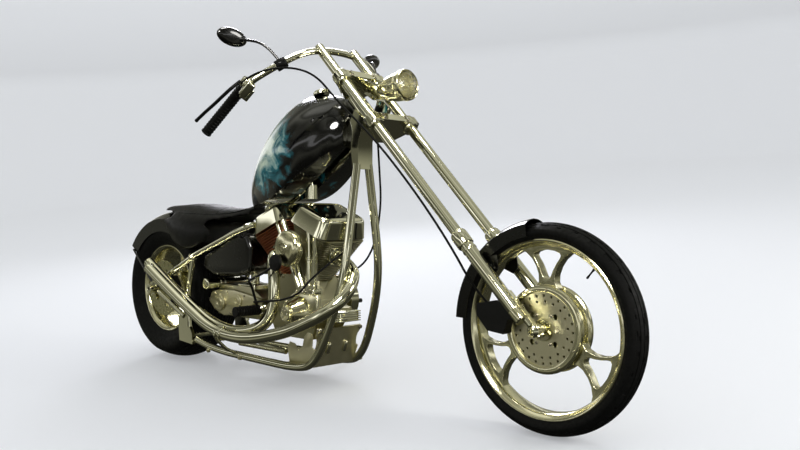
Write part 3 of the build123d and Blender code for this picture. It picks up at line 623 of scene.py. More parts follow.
# Tyres: turned carcass with rain grooves, then slanted sipes pressed into the tread
frontTyre = dict(radius=0.334, half=0.048, tread=0.038, drop=0.017, rim=0.282, bead=0.037, ribs=6,
                 groove=0.0028, steps=132, sipe=4)
rearTyre = dict(radius=0.3285, half=0.118, tread=0.106, drop=0.031, rim=0.202, bead=0.090, ribs=12,
                groove=0.0036, steps=144, sipe=4)

# Both tyres: how the bead tucks in, moulded lines on the wall, one rib with its groove, and the sipes
tyreForm = dict(seat=0.013, toe=(0.006, 0.0125), guard=0.0012, shoulder=0.0004, inner=0.002, sipeRim=0.0012,
                sipeDeep=0.8, slant=1.4, rib=((0.12, 0), (0.5, 0), (0.88, 0), (0.93, 1), (1.07, 1)),
                worn=0.93)


def makeTyre(name, tyre, hub, node, body):
    foot = Vector((tyre["bead"], tyre["rim"]))
    crown = Vector((tyre["tread"], tyre["radius"] - tyre["drop"]))
    bulge = Vector((tyre["half"], (tyre["rim"] - tyreForm["seat"] + tyre["radius"]) / 2))
    pull = 2 * bulge - (foot + crown) / 2
    wall = [(1 - t) ** 2 * foot + 2 * t * (1 - t) * pull + t * t * crown
            for t in [i / 10 for i in range(11)]]
    wall[2].y += tyreForm["guard"]
    wall[7].x += tyreForm["shoulder"]
    right = [(tyre["bead"] - tyreForm["toe"][0], tyre["rim"] - tyreForm["toe"][1])]
    right += [(p.x, p.y) for p in wall]
    tread = []
    width = 2 * tyre["tread"] / tyre["ribs"]
    for i in range(tyre["ribs"]):
        for part, sunk in tyreForm["rib"]:
            if i == tyre["ribs"] - 1 and part > 0.9:
                continue
            side = tyre["tread"] - (i + part) * width
            if abs(side) < tyre["tread"]:
                height = tyre["radius"] - tyre["drop"] * (side / tyre["tread"]) ** 2 - sunk * tyre["groove"]
                tread.append((side, height))
    left = [(-side, height) for side, height in reversed(right)]
    piece = turnPiece(name, right + tread + left + [right[0]], hub, leftward, tyre["steps"], 45)
    editAll(piece)

    def isSipe(middle, normal):
        offset = middle - hub
        reach = (offset.x ** 2 + offset.z ** 2) ** 0.5
        if (reach < tyre["radius"] - tyre["drop"] - tyreForm["inner"]
                or abs(offset.y) > tyreForm["worn"] * tyre["tread"]):
            return False
        rib = int((offset.y + tyre["tread"]) / width)
        column = stepOf(offset.z, offset.x, tyre["steps"])
        slant = abs(offset.y) / width
        return ((column + int(slant * tyreForm["slant"])) % tyre["sipe"] == 0 and normal.dot(offset) > 0
                and rib % 2 == 0)
    pickFaces(piece, isSipe)
    bpy.ops.mesh.inset(thickness=tyreForm["sipeRim"], depth=-tyre["groove"] * tyreForm["sipeDeep"],
                       use_individual=False)
    finishEdit(30)
    return settle(piece, body, "tyreRubber", stands=[node])


makeTyre("frontTyre", frontTyre, frontAxle, "front_tyre", "front_wheel")
makeTyre("rearTyre", rearTyre, rearAxle, "rear_tyre", "rear_wheel")
print("tyres made")

# Wheels: spun hoop and hub ring, three spoke groups cut from plate with a window, rounded all over
frontWheel = dict(rim=0.282, half=0.041, ring=0.139, ringHalf=0.0395, spoke=0.034, round=0.011, scale=1.0,
                  turn=0.0, disc=0.022)
rearWheel = dict(rim=0.202, half=0.094, ring=0.098, ringHalf=0.064, spoke=0.060, round=0.010, scale=0.715,
                 turn=0.3, disc=0.040)
spokeTip, spokeFoot, windowTip, windowFoot = 0.2675, 0.126, 0.248, 0.158
spokeSide = [(0.040, 0.128), (0.029, 0.147), (0.030, 0.170), (0.040, 0.196), (0.056, 0.219), (0.078, 0.237),
             (0.108, 0.246), (0.074, 0.260), (0.038, 0.266)]
windowSide = [(0.009, 0.160), (0.015, 0.167), (0.022, 0.184), (0.033, 0.204), (0.046, 0.222),
              (0.050, 0.231), (0.045, 0.239), (0.028, 0.245), (0.012, 0.247)]


def wireLoop(name, points):
    piece = drawChain(name, [(x, 0, z) for x, z in points + points[:1]])
    bpy.ops.mesh.remove_doubles(threshold=1e-5)
    bpy.ops.object.mode_set(mode="OBJECT")
    return piece


def makeSpokes(wheel, name):
    outer = spokeSide + [(0, spokeTip)] + [(-w, z) for w, z in reversed(spokeSide)] + [(0, spokeFoot)]
    inner = windowSide + [(0, windowTip)] + [(-w, z) for w, z in reversed(windowSide)] + [(0, windowFoot)]
    scale = wheel["scale"]
    loops = [wireLoop(name, [(w * scale, z * scale) for w, z in line]) for line in (outer, inner)]
    group = joinPieces(loops, name)
    editAll(group)
    bpy.ops.mesh.bridge_edge_loops()
    finishEdit(40)
    applyModifier(group, "spokeThickness", "SOLIDIFY", {"thickness": wheel["spoke"], "offset": 0})
    applyModifier(group, "spokeRounding", "BEVEL", {
        "width": wheel["round"], "segments": 5, "limit_method": "ANGLE", "angle_limit": radians(60)})
    editAll(group)
    bpy.ops.mesh.normals_make_consistent(inside=False)
    finishEdit(50)
    copies = [copyPiece(group, Matrix.Rotation(wheel["turn"] + i * 2 * pi / 3, 4, "Y"), name)
              for i in range(3)]
    bpy.data.objects.remove(group)
    return copies


def makeWheel(name, wheel, hub, body, node):
    rim, half, ring, ringHalf = wheel["rim"], wheel["half"], wheel["ring"], wheel["ringHalf"]
    side = [(half - 0.002, rim + 0.0005), (half, rim - 0.003), (half - 0.001, rim - 0.007),
            (half - 0.006, rim - 0.011), (half - 0.010, rim - 0.017), (half - 0.016, rim - 0.0205),
            (half * 0.35, rim - 0.023)]
    hoopLine = side + [(-y, r) for y, r in reversed(side)]
    hoopLine += [(-half + 0.010, rim - 0.006), (half - 0.010, rim - 0.006)]
    hoop = turnPiece(name + "Hoop", hoopLine + hoopLine[:1], hub, leftward, 160, 40)
    edge = [(ringHalf - 0.002, ring - 0.022), (ringHalf, ring - 0.018), (ringHalf, ring - 0.008),
            (ringHalf - 0.003, ring - 0.002), (ringHalf - 0.009, ring), (ringHalf - 0.016, ring - 0.001),
            (ringHalf - 0.020, ring - 0.006), (ringHalf - 0.022, ring - 0.014)]
    bossLine = edge + [(-y, r) for y, r in reversed(edge)]
    bossLine += [(-wheel["disc"], ring - 0.024), (-wheel["disc"] + 0.006, 0.040), (-ringHalf, 0.034),
                 (-ringHalf, 0.014), (ringHalf, 0.014), (ringHalf, 0.034), (wheel["disc"] - 0.006, 0.040),
                 (wheel["disc"], ring - 0.024)]
    boss = turnPiece(name + "Boss", bossLine + bossLine[:1], hub, leftward, 144, 40)
    spokes = makeSpokes(wheel, name + "Spokes")
    for spoke in spokes:
        spoke.data.transform(Matrix.Translation(hub))
    return settle(joinPieces([hoop, boss] + spokes, name), body, "polishedAluminium", stands=[node])


makeWheel("frontWheel", frontWheel, frontAxle, "front_wheel", "front_rim")
makeWheel("rearWheel", rearWheel, rearAxle, "rear_wheel", "rear_rim")
print("wheels made")

# Wheel trim: bolt circles on the hub rings, axle nuts, valves
hubBolts = dict(front=dict(side=0.0375, ring=0.1265, count=10, first=0.2, radius=0.0036),
                rear=dict(side=0.0635, ring=0.0855, count=5, first=0.4, radius=0.005))
for side, axis, sideName in bothSides:
    for end, axle in (("front", frontAxle), ("rear", rearAxle)):
        bolts = hubBolts[end]
        spots = ringSpots(axle + Vector((0, side * bolts["side"], 0)), axis, bolts["ring"], bolts["count"],
                          bolts["first"])
        boltSet(end + "HubBolts" + sideName, spots, end + "_wheel", bolts["radius"])
    nut = turnPiece("frontAxleNut", [(0, 0), (0, 0.019), (0.004, 0.021), (0.010, 0.021), (0.014, 0.016),
                                     (0.020, 0.013), (0.022, 0.0085), (0.0205, 0.0075), (0.004, 0.0075),
                                     (0.004, 0)], frontAxle + Vector((0, side * 0.078, 0)), axis, 40)
    settle(nut, "steering", "chrome")
boltSet("frontDiscBolts", ringSpots(frontAxle + Vector((0, -0.0312, 0)), rightward, 0.05, 6), "front_wheel",
        0.004)
boltSet("rearDiscBolts", ringSpots(rearAxle + Vector((0, -0.1092, 0)), rightward, 0.045, 5), "rear_wheel",
        0.005)
valve = turnPiece("frontValve", [(0, 0), (0, 0.004), (0.010, 0.004), (0.012, 0.0028), (0.030, 0.0028),
                                 (0.031, 0.0036), (0.040, 0.0036), (0.041, 0.002), (0.041, 0)],
                  frontAxle + Vector((0.160, 0, 0.197)), Vector((-0.63, -0.05, -0.777)), 16)
settle(valve, "front_wheel", "rubber")
print("wheel trim made")

# Fork trim, placed along the fork line
fork = dict(rake=pi / 4, ahead=0.005, spread=0.090, sliderTop=0.411, lower=0.975, upper=1.218)
forkFoot = frontAxle + Vector((-fork["ahead"] * cos(fork["rake"]), 0, -fork["ahead"] * sin(fork["rake"])))
forkUp = Vector((-sin(fork["rake"]), 0, cos(fork["rake"])))
forkBack = Vector((-cos(fork["rake"]), 0, -sin(fork["rake"])))


def onFork(height, side=0.0, back=0.0):
    return forkFoot + forkUp * height + forkBack * back + Vector((0, side, 0))


trim = []
for side in (-fork["spread"], fork["spread"]):
    trim.append(turnPiece("forkSeal", [(-0.046, 0.0233), (-0.046, 0.0275), (-0.042, 0.0288),
                                       (-0.004, 0.0288), (0.004, 0.0272), (0.010, 0.0240), (0.013, 0.0192),
                                       (-0.046, 0.0192), (-0.046, 0.0233)], onFork(fork["sliderTop"], side),
                          forkUp, 48))
    trim.append(turnPiece("forkGroove", [(-0.004, 0.0232), (-0.004, 0.0245), (0, 0.0252), (0.004, 0.0245),
                                         (0.004, 0.0232), (-0.004, 0.0232)],
                          onFork(fork["sliderTop"] - 0.066, side), forkUp, 48))
    for height in (fork["lower"], fork["upper"]):
        trim.append(turnPiece("clampCollar", [(-0.024, 0.0193), (-0.024, 0.0285), (-0.019, 0.031),
                                              (0.019, 0.031), (0.024, 0.0285), (0.024, 0.0193),
                                              (-0.024, 0.0193)], onFork(height, side), forkUp, 48))
settle(joinPieces(trim, "forkTrim"), "steering", "chrome")
forkEnds = [turnPiece("forkEnd", [(-0.012, 0), (-0.012, 0.020), (-0.008, 0.0236), (0.030, 0.0238),
                                  (0.034, 0.0225), (0.034, 0)], onFork(0.058, side), forkUp, 40)
            for side in (-fork["spread"], fork["spread"])]
settle(joinPieces(forkEnds, "forkEnds"), "steering", "polishedAluminium")
pinch = dict(apart=0.008, side=0.060, ahead=-0.0305, radius=0.0045)
pinchSpots = [(onFork(fork[clamp] + shift, side * pinch["side"], pinch["ahead"]), -forkBack)
              for clamp in ("lower", "upper") for shift in (-pinch["apart"], pinch["apart"])
              for side in (-1, 1)]
boltSet("clampPinchBolts", pinchSpots, "steering", pinch["radius"])
stemNut = turnPiece("stemNut", [(0, 0), (0, 0.020), (0.006, 0.022), (0.014, 0.022), (0.017, 0.018),
                                (0.024, 0.014), (0.026, 0)], onFork(fork["upper"] + 0.017, 0, 0.060),
                    forkUp, 6, 20)
settle(stemNut, "steering", "chrome")
print("fork trim made")

# Headlight: turned bullet shell with a bezel and a polished bowl, a bulb and a fluted lens
lamp = dict(front=Vector((1.448, 0, 1.154)), axis=Vector((cos(radians(6)), 0, sin(radians(6)))), flutes=28)
shell = [(-0.145, 0), (-0.1448, 0.007), (-0.142, 0.013), (-0.134, 0.0225), (-0.120, 0.0315),
         (-0.102, 0.0395), (-0.080, 0.0460), (-0.056, 0.0505), (-0.032, 0.0530), (-0.016, 0.0540),
         (-0.014, 0.0562), (-0.010, 0.0575), (0.002, 0.0575), (0.006, 0.0560), (0.0075, 0.0535),
         (0.006, 0.0515), (-0.002, 0.0510), (-0.012, 0.0490), (-0.030, 0.0430), (-0.050, 0.0320),
         (-0.062, 0.0190), (-0.066, 0.006), (-0.066, 0)]
settle(turnPiece("headlightShell", shell, lamp["front"], lamp["axis"], 96, 50), "steering",
       "polishedAluminium", stands=["headlight"])
bulb = turnPiece("headlightBulb", [(-0.066, 0), (-0.066, 0.008), (-0.050, 0.008), (-0.048, 0.006),
                                   (-0.034, 0.0075), (-0.024, 0.006), (-0.020, 0)],
                 lamp["front"], lamp["axis"], 24, 60)
settle(bulb, "steering", "polishedAluminium")
lens = turnPiece("headlightLens", [(0.0092, 0), (0.0090, 0.0060), (0.0082, 0.0200), (0.0065, 0.0340),
                                   (0.0040, 0.0440), (0.0010, 0.0485), (-0.003, 0.0485), (-0.003, 0.0500),
                                   (0.0005, 0.0510), (0.0030, 0.0500), (0.0060, 0.0445), (0.0085, 0.0340),
                                   (0.0102, 0.0200), (0.0110, 0.0060), (0.0112, 0)], lamp["front"],
                 lamp["axis"], 2 * lamp["flutes"], 60)
editAll(lens)
lampUp = Vector((-lamp["axis"].z, 0, lamp["axis"].x))
pickFaces(lens, lambda middle, normal: normal.dot(lamp["axis"]) > 0.5
          and stepOf(middle.y, (middle - lamp["front"]).dot(lampUp), 2 * lamp["flutes"]) % 2 == 0)
bpy.ops.mesh.inset(thickness=0.0003, depth=0.0006, use_individual=False)
finishEdit(60)
settle(lens, "steering", "lampGlass", stands=["headlight_lens"])
print("headlight made")

# Handlebar furniture: ribbed grips, control clamps with reservoirs, levers and mirror clamps
grip = dict(end=Vector((0.808, -0.421, 0.988)), start=Vector((0.957, -0.361, 1.152)), radius=0.0205,
            ribs=17)
gripAxis = (grip["end"] - grip["start"]).normalized()
gripLength = (grip["end"] - grip["start"]).length
profile = [(0.0, 0.0132), (0.0, grip["radius"]), (0.004, grip["radius"]), (0.006, 0.0187)]
for i in range(grip["ribs"]):
    at = 0.012 + i * (gripLength - 0.022) / grip["ribs"]
    profile += [(at, 0.0186), (at + 0.002, 0.0202), (at + 0.0066, 0.0202), (at + 0.0086, 0.0186)]
profile += [(gripLength - 0.006, 0.0187), (gripLength - 0.004, grip["radius"]),
            (gripLength + 0.001, grip["radius"]), (gripLength + 0.003, 0.018), (gripLength + 0.003, 0)]
gripRight = turnPiece("gripRight", profile, grip["start"], gripAxis, 40, 30)
settlePair(gripRight, "gripLeft", "steering", "rubber", ["grips"])

control = dict(inboard=0.020, body=Vector((0.022, -0.014, -0.026)), lid=Vector((0.022, -0.014, -0.044)))
clampSpot = grip["start"] - gripAxis * control["inboard"]
block = makeBlock("masterCylinder", (0, 0, 0), (0.062, 0.034, 0.034), 0.007, 4,
                  Matrix.Translation(clampSpot + control["body"]) @ aimAt(gripAxis, (1, 0, 0)))
lid = makeBlock("masterLid", (0, 0, 0), (0.050, 0.034, 0.006), 0.0024, 3,
                Matrix.Translation(clampSpot + control["lid"]) @ aimAt(gripAxis, (1, 0, 0)))
clampRing = turnPiece("controlClamp", [(-0.016, 0.0133), (-0.016, 0.0215), (-0.012, 0.0235),
                                       (0.012, 0.0235), (0.016, 0.0215), (0.016, 0.0133), (-0.016, 0.0133)],
                      clampSpot, gripAxis, 40)
settlePair(joinPieces([block, lid, clampRing], "controlRight"), "controlLeft", "steering", "chrome")

leverLine = [(0.972, -0.384, 1.170), (0.958, -0.410, 1.146), (0.930, -0.428, 1.118), (0.880, -0.437, 1.086),
             (0.830, -0.443, 1.060), (0.786, -0.446, 1.036)]
leverRight = meshTube("leverRight", leverLine, 0.0066)
leverEnd = Vector(leverLine[-1]) - Vector(leverLine[-2])
tip = turnPiece("leverTip", [(-0.004, 0), (-0.003, 0.004), (0, 0.0066), (0.004, 0.0074), (0.008, 0.0066),
                             (0.010, 0.003), (0.010, 0)], leverLine[-1], leverEnd, 20, 60)
settlePair(joinPieces([leverRight, tip], "leverRight"), "leverLeft", "steering", "satinBlack",
           stands=["hand_levers"])

barClamp = turnPiece("mirrorClamp", [(-0.021, 0.0133), (-0.021, 0.0195), (-0.018, 0.0212), (0.018, 0.0212),
                                     (0.021, 0.0195), (0.021, 0.0133), (-0.021, 0.0133)],
                     Vector((1.037, -0.248, 1.243)), Vector((0.095, 0.125, 0.10)), 40)
settlePair(barClamp, "mirrorClampLeft", "steering", "satinBlack")

# Mirrors: oval shells turned, then flattened, with glass facing the rider
mirror = dict(centre=Vector((0.897, -0.367, 1.344)), wide=0.0615, high=0.0335)
face = Vector((-1, 0.2, 0.1)).normalized()
squash = aimAt(face) @ Matrix.Diagonal((mirror["high"] / mirror["wide"], 1, 1, 1))
shellMirror = turnPiece("mirrorRight", [(-0.008, 0), (-0.0078, 0.020), (-0.0066, 0.038), (-0.004, 0.051),
                                        (0.0, 0.0588), (0.004, 0.0615), (0.0076, 0.0610), (0.0080, 0.0585),
                                        (0.0062, 0.0575), (0.0062, 0)], (0, 0, 0), (0, 0, 1), 64, 50)
shellMirror.data.transform(Matrix.Translation(mirror["centre"]) @ squash)
glass = turnPiece("mirrorGlassRight", [(0.0060, 0), (0.0060, 0.0572), (0.0070, 0.0570), (0.0074, 0.0300),
                                       (0.0075, 0)], (0, 0, 0), (0, 0, 1), 64, 60)
glass.data.transform(Matrix.Translation(mirror["centre"]) @ squash)
stalk = meshTube("stalk", [(0.898, -0.345, 1.338), (0.935, -0.322, 1.334), (0.975, -0.295, 1.324),
                           (1.015, -0.268, 1.286), (1.040, -0.252, 1.246)], 0.0052)
settlePair(joinPieces([shellMirror, stalk], "mirrorRight"), "mirrorLeft", "steering", "lacquer",
           stands=["mirrors"])
settlePair(glass, "mirrorGlassLeft", "steering", "mirrorGlass")
print("handlebar furniture made")

# Filler cap on the tank, with a scalloped rim
filler = dict(top=Vector((0.985, 0, 1.156)), axis=Vector((-0.3, 0, 1)).normalized(), steps=48,
              scallop=0.0012)
cap = turnPiece("fillerCap", [(0, 0), (0, 0.030), (0.003, 0.0325), (0.012, 0.0325), (0.0165, 0.0300),
                              (0.0175, 0.0200), (0.0175, 0.0180), (0.0165, 0.0160), (0.0165, 0)],
                filler["top"], (-0.3, 0, 1), filler["steps"])
editAll(cap)


def isScallop(middle, normal):
    offset = middle - filler["top"]
    return (abs(normal.dot(filler["axis"])) < 0.3 and 0.004 < offset.dot(filler["axis"]) < 0.011
            and stepOf(offset.y, offset.x, filler["steps"]) % 4 < 2)


pickFaces(cap, isScallop)
bpy.ops.mesh.inset(thickness=0.0006, depth=-filler["scallop"], use_individual=False)
finishEdit(30)
settle(cap, "root", "chrome", stands=["filler_cap"])
tankSeam = meshTube("tankSeam", [(0.700, -0.098, 0.722), (0.741, -0.121, 0.725), (0.860, -0.145, 0.753),
                                 (1.000, -0.1415, 0.832), (1.110, -0.1055, 0.903), (1.165, -0.066, 0.950)],
                    0.0024)
seamLeft = copyPiece(tankSeam, mirrorSide, "tankSeamLeft")
settle(joinPieces([tankSeam, seamLeft], "tankSeams"), "root", "lacquer")
print("tank trim made")

# Engine, in barrel frames: the cylinders lean to both sides of the crank's vertical
engine = dict(crank=(0.910, 0.330), vee=22.5, start=0.119, end=0.321, low=0.054, high=0.116, pitch=0.0098,
              fin=0.0034, finFrom=0.005, finEdge=0.0007, veeGap=0.002, corner=0.33, coreLow=0.036,
              coreHigh=0.054, port=0.250)


def barrelFrame(side, height):
    tilt = radians(side * engine["vee"])
    place = (engine["crank"][0] + sin(tilt) * height, 0, engine["crank"][1] + cos(tilt) * height)
    return Matrix.Translation(place) @ Matrix.Rotation(tilt, 4, "Y")


def makeBarrel(side, name):
    fins = []
    tall = engine["end"] - engine["start"]
    count = int(tall / engine["pitch"])
    for i in range(count):
        height = engine["start"] + engine["finFrom"] + i * engine["pitch"]
        half = engine["low"] + (engine["high"] - engine["low"]) * (height - engine["start"]) / tall
        inner = min(half, height * tan(radians(engine["vee"])) - engine["veeGap"])
        deselectAll()
        bpy.ops.mesh.primitive_cube_add(size=1, location=(0, 0, 0))
        fin = bpy.context.object
        fin.data.transform(Matrix.Translation((side * (half - inner) / 2, 0, 0))
                           @ Matrix.Diagonal((half + inner, 2 * half, engine["fin"], 1)))
        bpy.ops.object.mode_set(mode="EDIT")
        pickEdges(fin, lambda a, b: abs(a.z - b.z) > 0.5 * engine["fin"])
        bpy.ops.mesh.bevel(offset=engine["corner"] * half, segments=6, affect="EDGES")
        bpy.ops.mesh.select_all(action="SELECT")
        bpy.ops.mesh.dissolve_limited(angle_limit=radians(1))
        pickEdges(fin, lambda a, b: abs(a.z - b.z) < 0.1 * engine["fin"])
        bpy.ops.mesh.bevel(offset=engine["finEdge"], segments=1, affect="EDGES")
        finishEdit(30)
        fin.data.transform(barrelFrame(side, height))
        fins.append(fin)
    # The core under the fins is satin black: painted shade that darkens the grooves between the fins
    core = turnPiece(name + "Core", [(0, 0), (0, engine["coreLow"]), (tall, engine["coreHigh"]), (tall, 0)],
                     (0, 0, 0), (0, 0, 1), 48)
    core.data.transform(barrelFrame(side, engine["start"]))
    settle(core, "root", "satinBlack")
    return joinPieces(fins, name)


settle(makeBarrel(1, "frontFins"), "root", "castAluminium", stands=["cylinders"])
settle(makeBarrel(-1, "rearFins"), "root", "copper")


# A place out from the front exhaust port, square to its barrel
def offPort(out, side=0.0):
    return barrelFrame(1, engine["port"]) @ Vector((out, side, 0))


portFront = offPort(0.040) + Vector((0, -0.020, 0))
portAxis = barrelFrame(1, 0).to_3x3() @ Vector((1, 0, 0))
portProfile = [(0, 0), (0, 0.034), (0.050, 0.030), (0.052, 0.036), (0.062, 0.037), (0.066, 0.034),
               (0.068, 0.026), (0.068, 0)]
portRings = [turnPiece("portFront", portProfile, portFront, portAxis, 40),
             turnPiece("portRear", portProfile, Vector((0.838, -0.036, 0.530)), rightward, 40)]
settle(joinPieces(portRings, "exhaustPorts"), "root", "chrome")
print("barrels made")

# Where each exhaust pipe ends, and which way it opens
pipeEnds = ((Vector((0.096, -0.243, 0.433)), Vector((-0.198, 0, 0.099))),
            (Vector((0.012, -0.194, 0.452)), Vector((-0.198, 0, 0.102))))

# Long bent tubes, drawn smooth through their bends
tubing = dict(
    bar=(0.013, [(0.808, -0.421, 0.988), (0.885, -0.390, 1.073), (0.962, -0.357, 1.160),
                 (1.030, -0.270, 1.232), (1.072, -0.165, 1.296), (1.0795, -0.060, 1.314),
                 (1.0795, 0.060, 1.314), (1.072, 0.165, 1.296), (1.030, 0.270, 1.232),
                 (0.962, 0.357, 1.160), (0.885, 0.390, 1.073), (0.808, 0.421, 0.988)]),
    downtube=(0.016, [(1.222, -0.030, 0.875), (1.223, -0.055, 0.714), (1.225, -0.080, 0.553),
                      (1.216, -0.094, 0.440), (1.180, -0.108, 0.300), (1.098, -0.124, 0.110),
                      (0.985, -0.125, 0.083), (0.750, -0.125, 0.087), (0.424, -0.125, 0.092),
                      (0.318, -0.135, 0.124)]),
    outerPipe=(0.024, [tuple(offPort(0.100, -0.020)), tuple(offPort(0.180, -0.022)),
                       (1.2350, -0.050, 0.455), (1.2580, -0.110, 0.385), (1.2100, -0.180, 0.318),
                       (1.0600, -0.232, 0.240), (0.860, -0.243, 0.196), (0.700, -0.243, 0.190),
                       (0.560, -0.243, 0.216), (0.420, -0.243, 0.277), (0.294, -0.243, 0.334),
                       (0.096, -0.243, 0.433)]),
    innerPipe=(0.024, [(0.838, -0.090, 0.530), (0.852, -0.140, 0.524), (0.876, -0.148, 0.440),
                       (0.880, -0.150, 0.330), (0.858, -0.166, 0.250), (0.770, -0.188, 0.209),
                       (0.640, -0.194, 0.200), (0.500, -0.194, 0.226), (0.360, -0.194, 0.285),
                       (0.210, -0.194, 0.350), (0.012, -0.194, 0.452)]))


def bendTube(name, key):
    radius, route = tubing[key]
    return meshTube(name, route, radius)


settle(bendTube("handlebarTube", "bar"), "steering", "chrome", stands=["handlebar"])
settlePair(bendTube("downtubeRight", "downtube"), "downtubeLeft", "root", "chrome", stands=["downtubes"])
outer = bendTube("outerPipe", "outerPipe")
inner = bendTube("innerPipe", "innerPipe")
settle(joinPieces([outer, inner], "exhaustTubes"), "root", "chrome", stands=["exhaust_pipes"])
# Satin black plugs sit in the capped pipe ends: painted shade standing in for the dark inside of an open
# pipe
mouthShades = [turnPiece("pipeMouthShade", [(-0.050, 0), (-0.050, 0.0205), (0.0006, 0.0218), (0.0008, 0.0236),
                                (-0.001, 0.0243)], end, way, 48, 50) for end, way in pipeEnds]
settle(joinPieces(mouthShades, "pipeMouthShades"), "root", "satinBlack")
print("tubes bent")

# Rocker boxes: drafted blocks with broad round corners, a raised lid and a base flange
rocker = dict(bottom=(0.106, 0.128), top=(0.092, 0.113), inward=0.007, tall=0.078, round=0.040, lip=0.018,
              lid=0.002, lidRim=0.006, lidSlope=0.0015, flange=0.080, sunk=0.004, flangeSunk=0.006,
              bolts=(0.040, 0.070, 0.0755), boltRadius=0.004)


def makeRocker(side, name):
    deselectAll()
    bpy.ops.mesh.primitive_cube_add(size=2, location=(0, 0, 0))
    box = bpy.context.object
    box.data.transform(Matrix.Diagonal((*rocker["bottom"], rocker["tall"] / 2, 1)))
    bpy.ops.object.mode_set(mode="EDIT")
    pickFaces(box, lambda middle, normal: normal.z > 0.9)
    bpy.ops.transform.resize(value=(rocker["top"][0] / rocker["bottom"][0],
                                    rocker["top"][1] / rocker["bottom"][1], 1))
    pickEdges(box, lambda a, b: abs(a.z - b.z) > 0.5 * rocker["tall"])
    bpy.ops.mesh.bevel(offset=rocker["round"], segments=8, affect="EDGES")
    pickEdges(box, lambda a, b: a.z > 0.4 * rocker["tall"] and b.z > 0.4 * rocker["tall"])
    bpy.ops.mesh.bevel(offset=rocker["lip"], segments=6, affect="EDGES")
    pickFaces(box, lambda middle, normal: normal.z > 0.99)
    bpy.ops.mesh.inset(thickness=rocker["lidRim"], depth=0)
    bpy.ops.mesh.inset(thickness=rocker["lidSlope"], depth=rocker["lid"])
    finishEdit(40)
    inward = Matrix.Translation((-side * rocker["inward"], 0, 0))
    box.data.transform(barrelFrame(side, engine["end"] - rocker["sunk"] + rocker["tall"] / 2) @ inward)
    flange = turnPiece(name, [(-0.003, 0), (-0.003, rocker["flange"]), (0.003, rocker["flange"]),
                              (0.003, 0)], (0, 0, 0), (0, 0, 1), 48)
    flange.data.transform(barrelFrame(side, engine["end"] - rocker["flangeSunk"]) @ inward)
    fore, wide, high = rocker["bolts"]
    straightUp = barrelFrame(side, 0).to_3x3() @ Vector((0, 0, 1))
    heads = [(barrelFrame(side, engine["end"] + high) @ Vector((x, y, 0)), straightUp)
             for x in (-fore, fore) for y in (-wide, 0, wide)]
    boltSet(name + "Bolts", heads, "root", rocker["boltRadius"])
    return joinPieces([box, flange], name)


settle(makeRocker(1, "rockerFront"), "root", "chrome", stands=["rocker_covers"])
settle(makeRocker(-1, "rockerRear"), "root", "chrome")
print("rocker boxes made")

# Air cleaner: a spun dome over a stepped back plate, with a plain turned ring at its middle
cleaner = dict(centre=Vector((0.968, -0.151, 0.566)), steps=112, about=Vector((0.968, -0.150, 0.566)),
               shift=Vector((0.015, 0, -0.015)), larger=1.1)
dome = turnPiece("airCleaner", [
    (0, 0), (0, 0.060), (0.0015, 0.0635), (0.009, 0.0640), (0.0105, 0.0612), (0.0135, 0.0608),
    (0.015, 0.0634), (0.020, 0.0640), (0.0235, 0.0625), (0.0285, 0.0575), (0.0330, 0.0500),
    (0.0365, 0.0400), (0.0388, 0.0300), (0.0398, 0.0225), (0.0408, 0.0215), (0.0408, 0.0195),
    (0.0394, 0.0185), (0.0394, 0.0100), (0.0404, 0.0090), (0.0408, 0.0070), (0.0408, 0)],
    cleaner["centre"], rightward, cleaner["steps"])
dome.data.transform(Matrix.Translation(cleaner["about"] + cleaner["shift"])
                    @ Matrix.Scale(cleaner["larger"], 4) @ Matrix.Translation(-cleaner["about"]))
settle(dome, "root", "polishedAluminium", stands=["air_cleaner"])
intake = turnPiece("carburettorBody", [
    (-0.001, 0), (-0.001, 0.030), (0.006, 0.031), (0.008, 0.026), (0.020, 0.025), (0.022, 0.029),
    (0.028, 0.029), (0.030, 0.024), (0.044, 0.023), (0.046, 0.028), (0.054, 0.028), (0.056, 0.023),
    (0.071, 0.023), (0.071, 0)], (0.948, -0.151, 0.566), leftward, 48)
settle(intake, "root", "polishedAluminium", stands=["carburettor"])

# Pushrod covers with collars, on lifter blocks
pushrods = dict(feet=(0.985, 1.008, 1.040, 1.066), tops=(0.838, 0.880, 1.034, 1.076), side=-0.107,
                foot=0.394, top=0.655, lifters=(0.9965, 1.053))
covers = []
for foot, top in zip(pushrods["feet"], pushrods["tops"]):
    start = Vector((foot, pushrods["side"], pushrods["foot"]))
    run = Vector((top, pushrods["side"], pushrods["top"])) - start
    tall = run.length
    covers.append(turnPiece("pushrod", [
        (0, 0), (0, 0.0135), (0.006, 0.0145), (0.016, 0.0145), (0.018, 0.0118), (0.100, 0.0118),
        (0.102, 0.0138), (0.110, 0.0138), (0.112, 0.0112), (0.118, 0.0112), (0.120, 0.0132),
        (0.124, 0.0132), (0.126, 0.0096), (tall - 0.012, 0.0096), (tall - 0.010, 0.0125), (tall, 0.0125),
        (tall, 0)], start, run, 28))
for centre in pushrods["lifters"]:
    covers.append(makeBlock("lifterBlock", (centre, -0.0965, 0.3835), (0.050, 0.042, 0.0225), 0.004, 3))
settle(joinPieces(covers, "pushrodCovers"), "root", "chrome", stands=["pushrod_tubes"])
boltSet("lifterBolts", [(Vector((centre + shift, -0.1175, 0.3835)), rightward)
                        for centre in pushrods["lifters"] for shift in (-0.019, 0.019)], "root", 0.0036)


# Flutes sunk round the rim of a turned cap that faces right
def cutFlutes(cap, x, z, inner, nearY, farY, edge, depth):
    editAll(cap)
    pickFaces(cap, lambda middle, normal: farY < middle.y < nearY
              and inner < ((middle.x - x) ** 2 + (middle.z - z) ** 2) ** 0.5
              and stepOf(middle.z - z, middle.x - x, 48) % 4 < 2)
    bpy.ops.mesh.inset(thickness=edge, depth=-depth, use_individual=False)
    finishEdit(30)


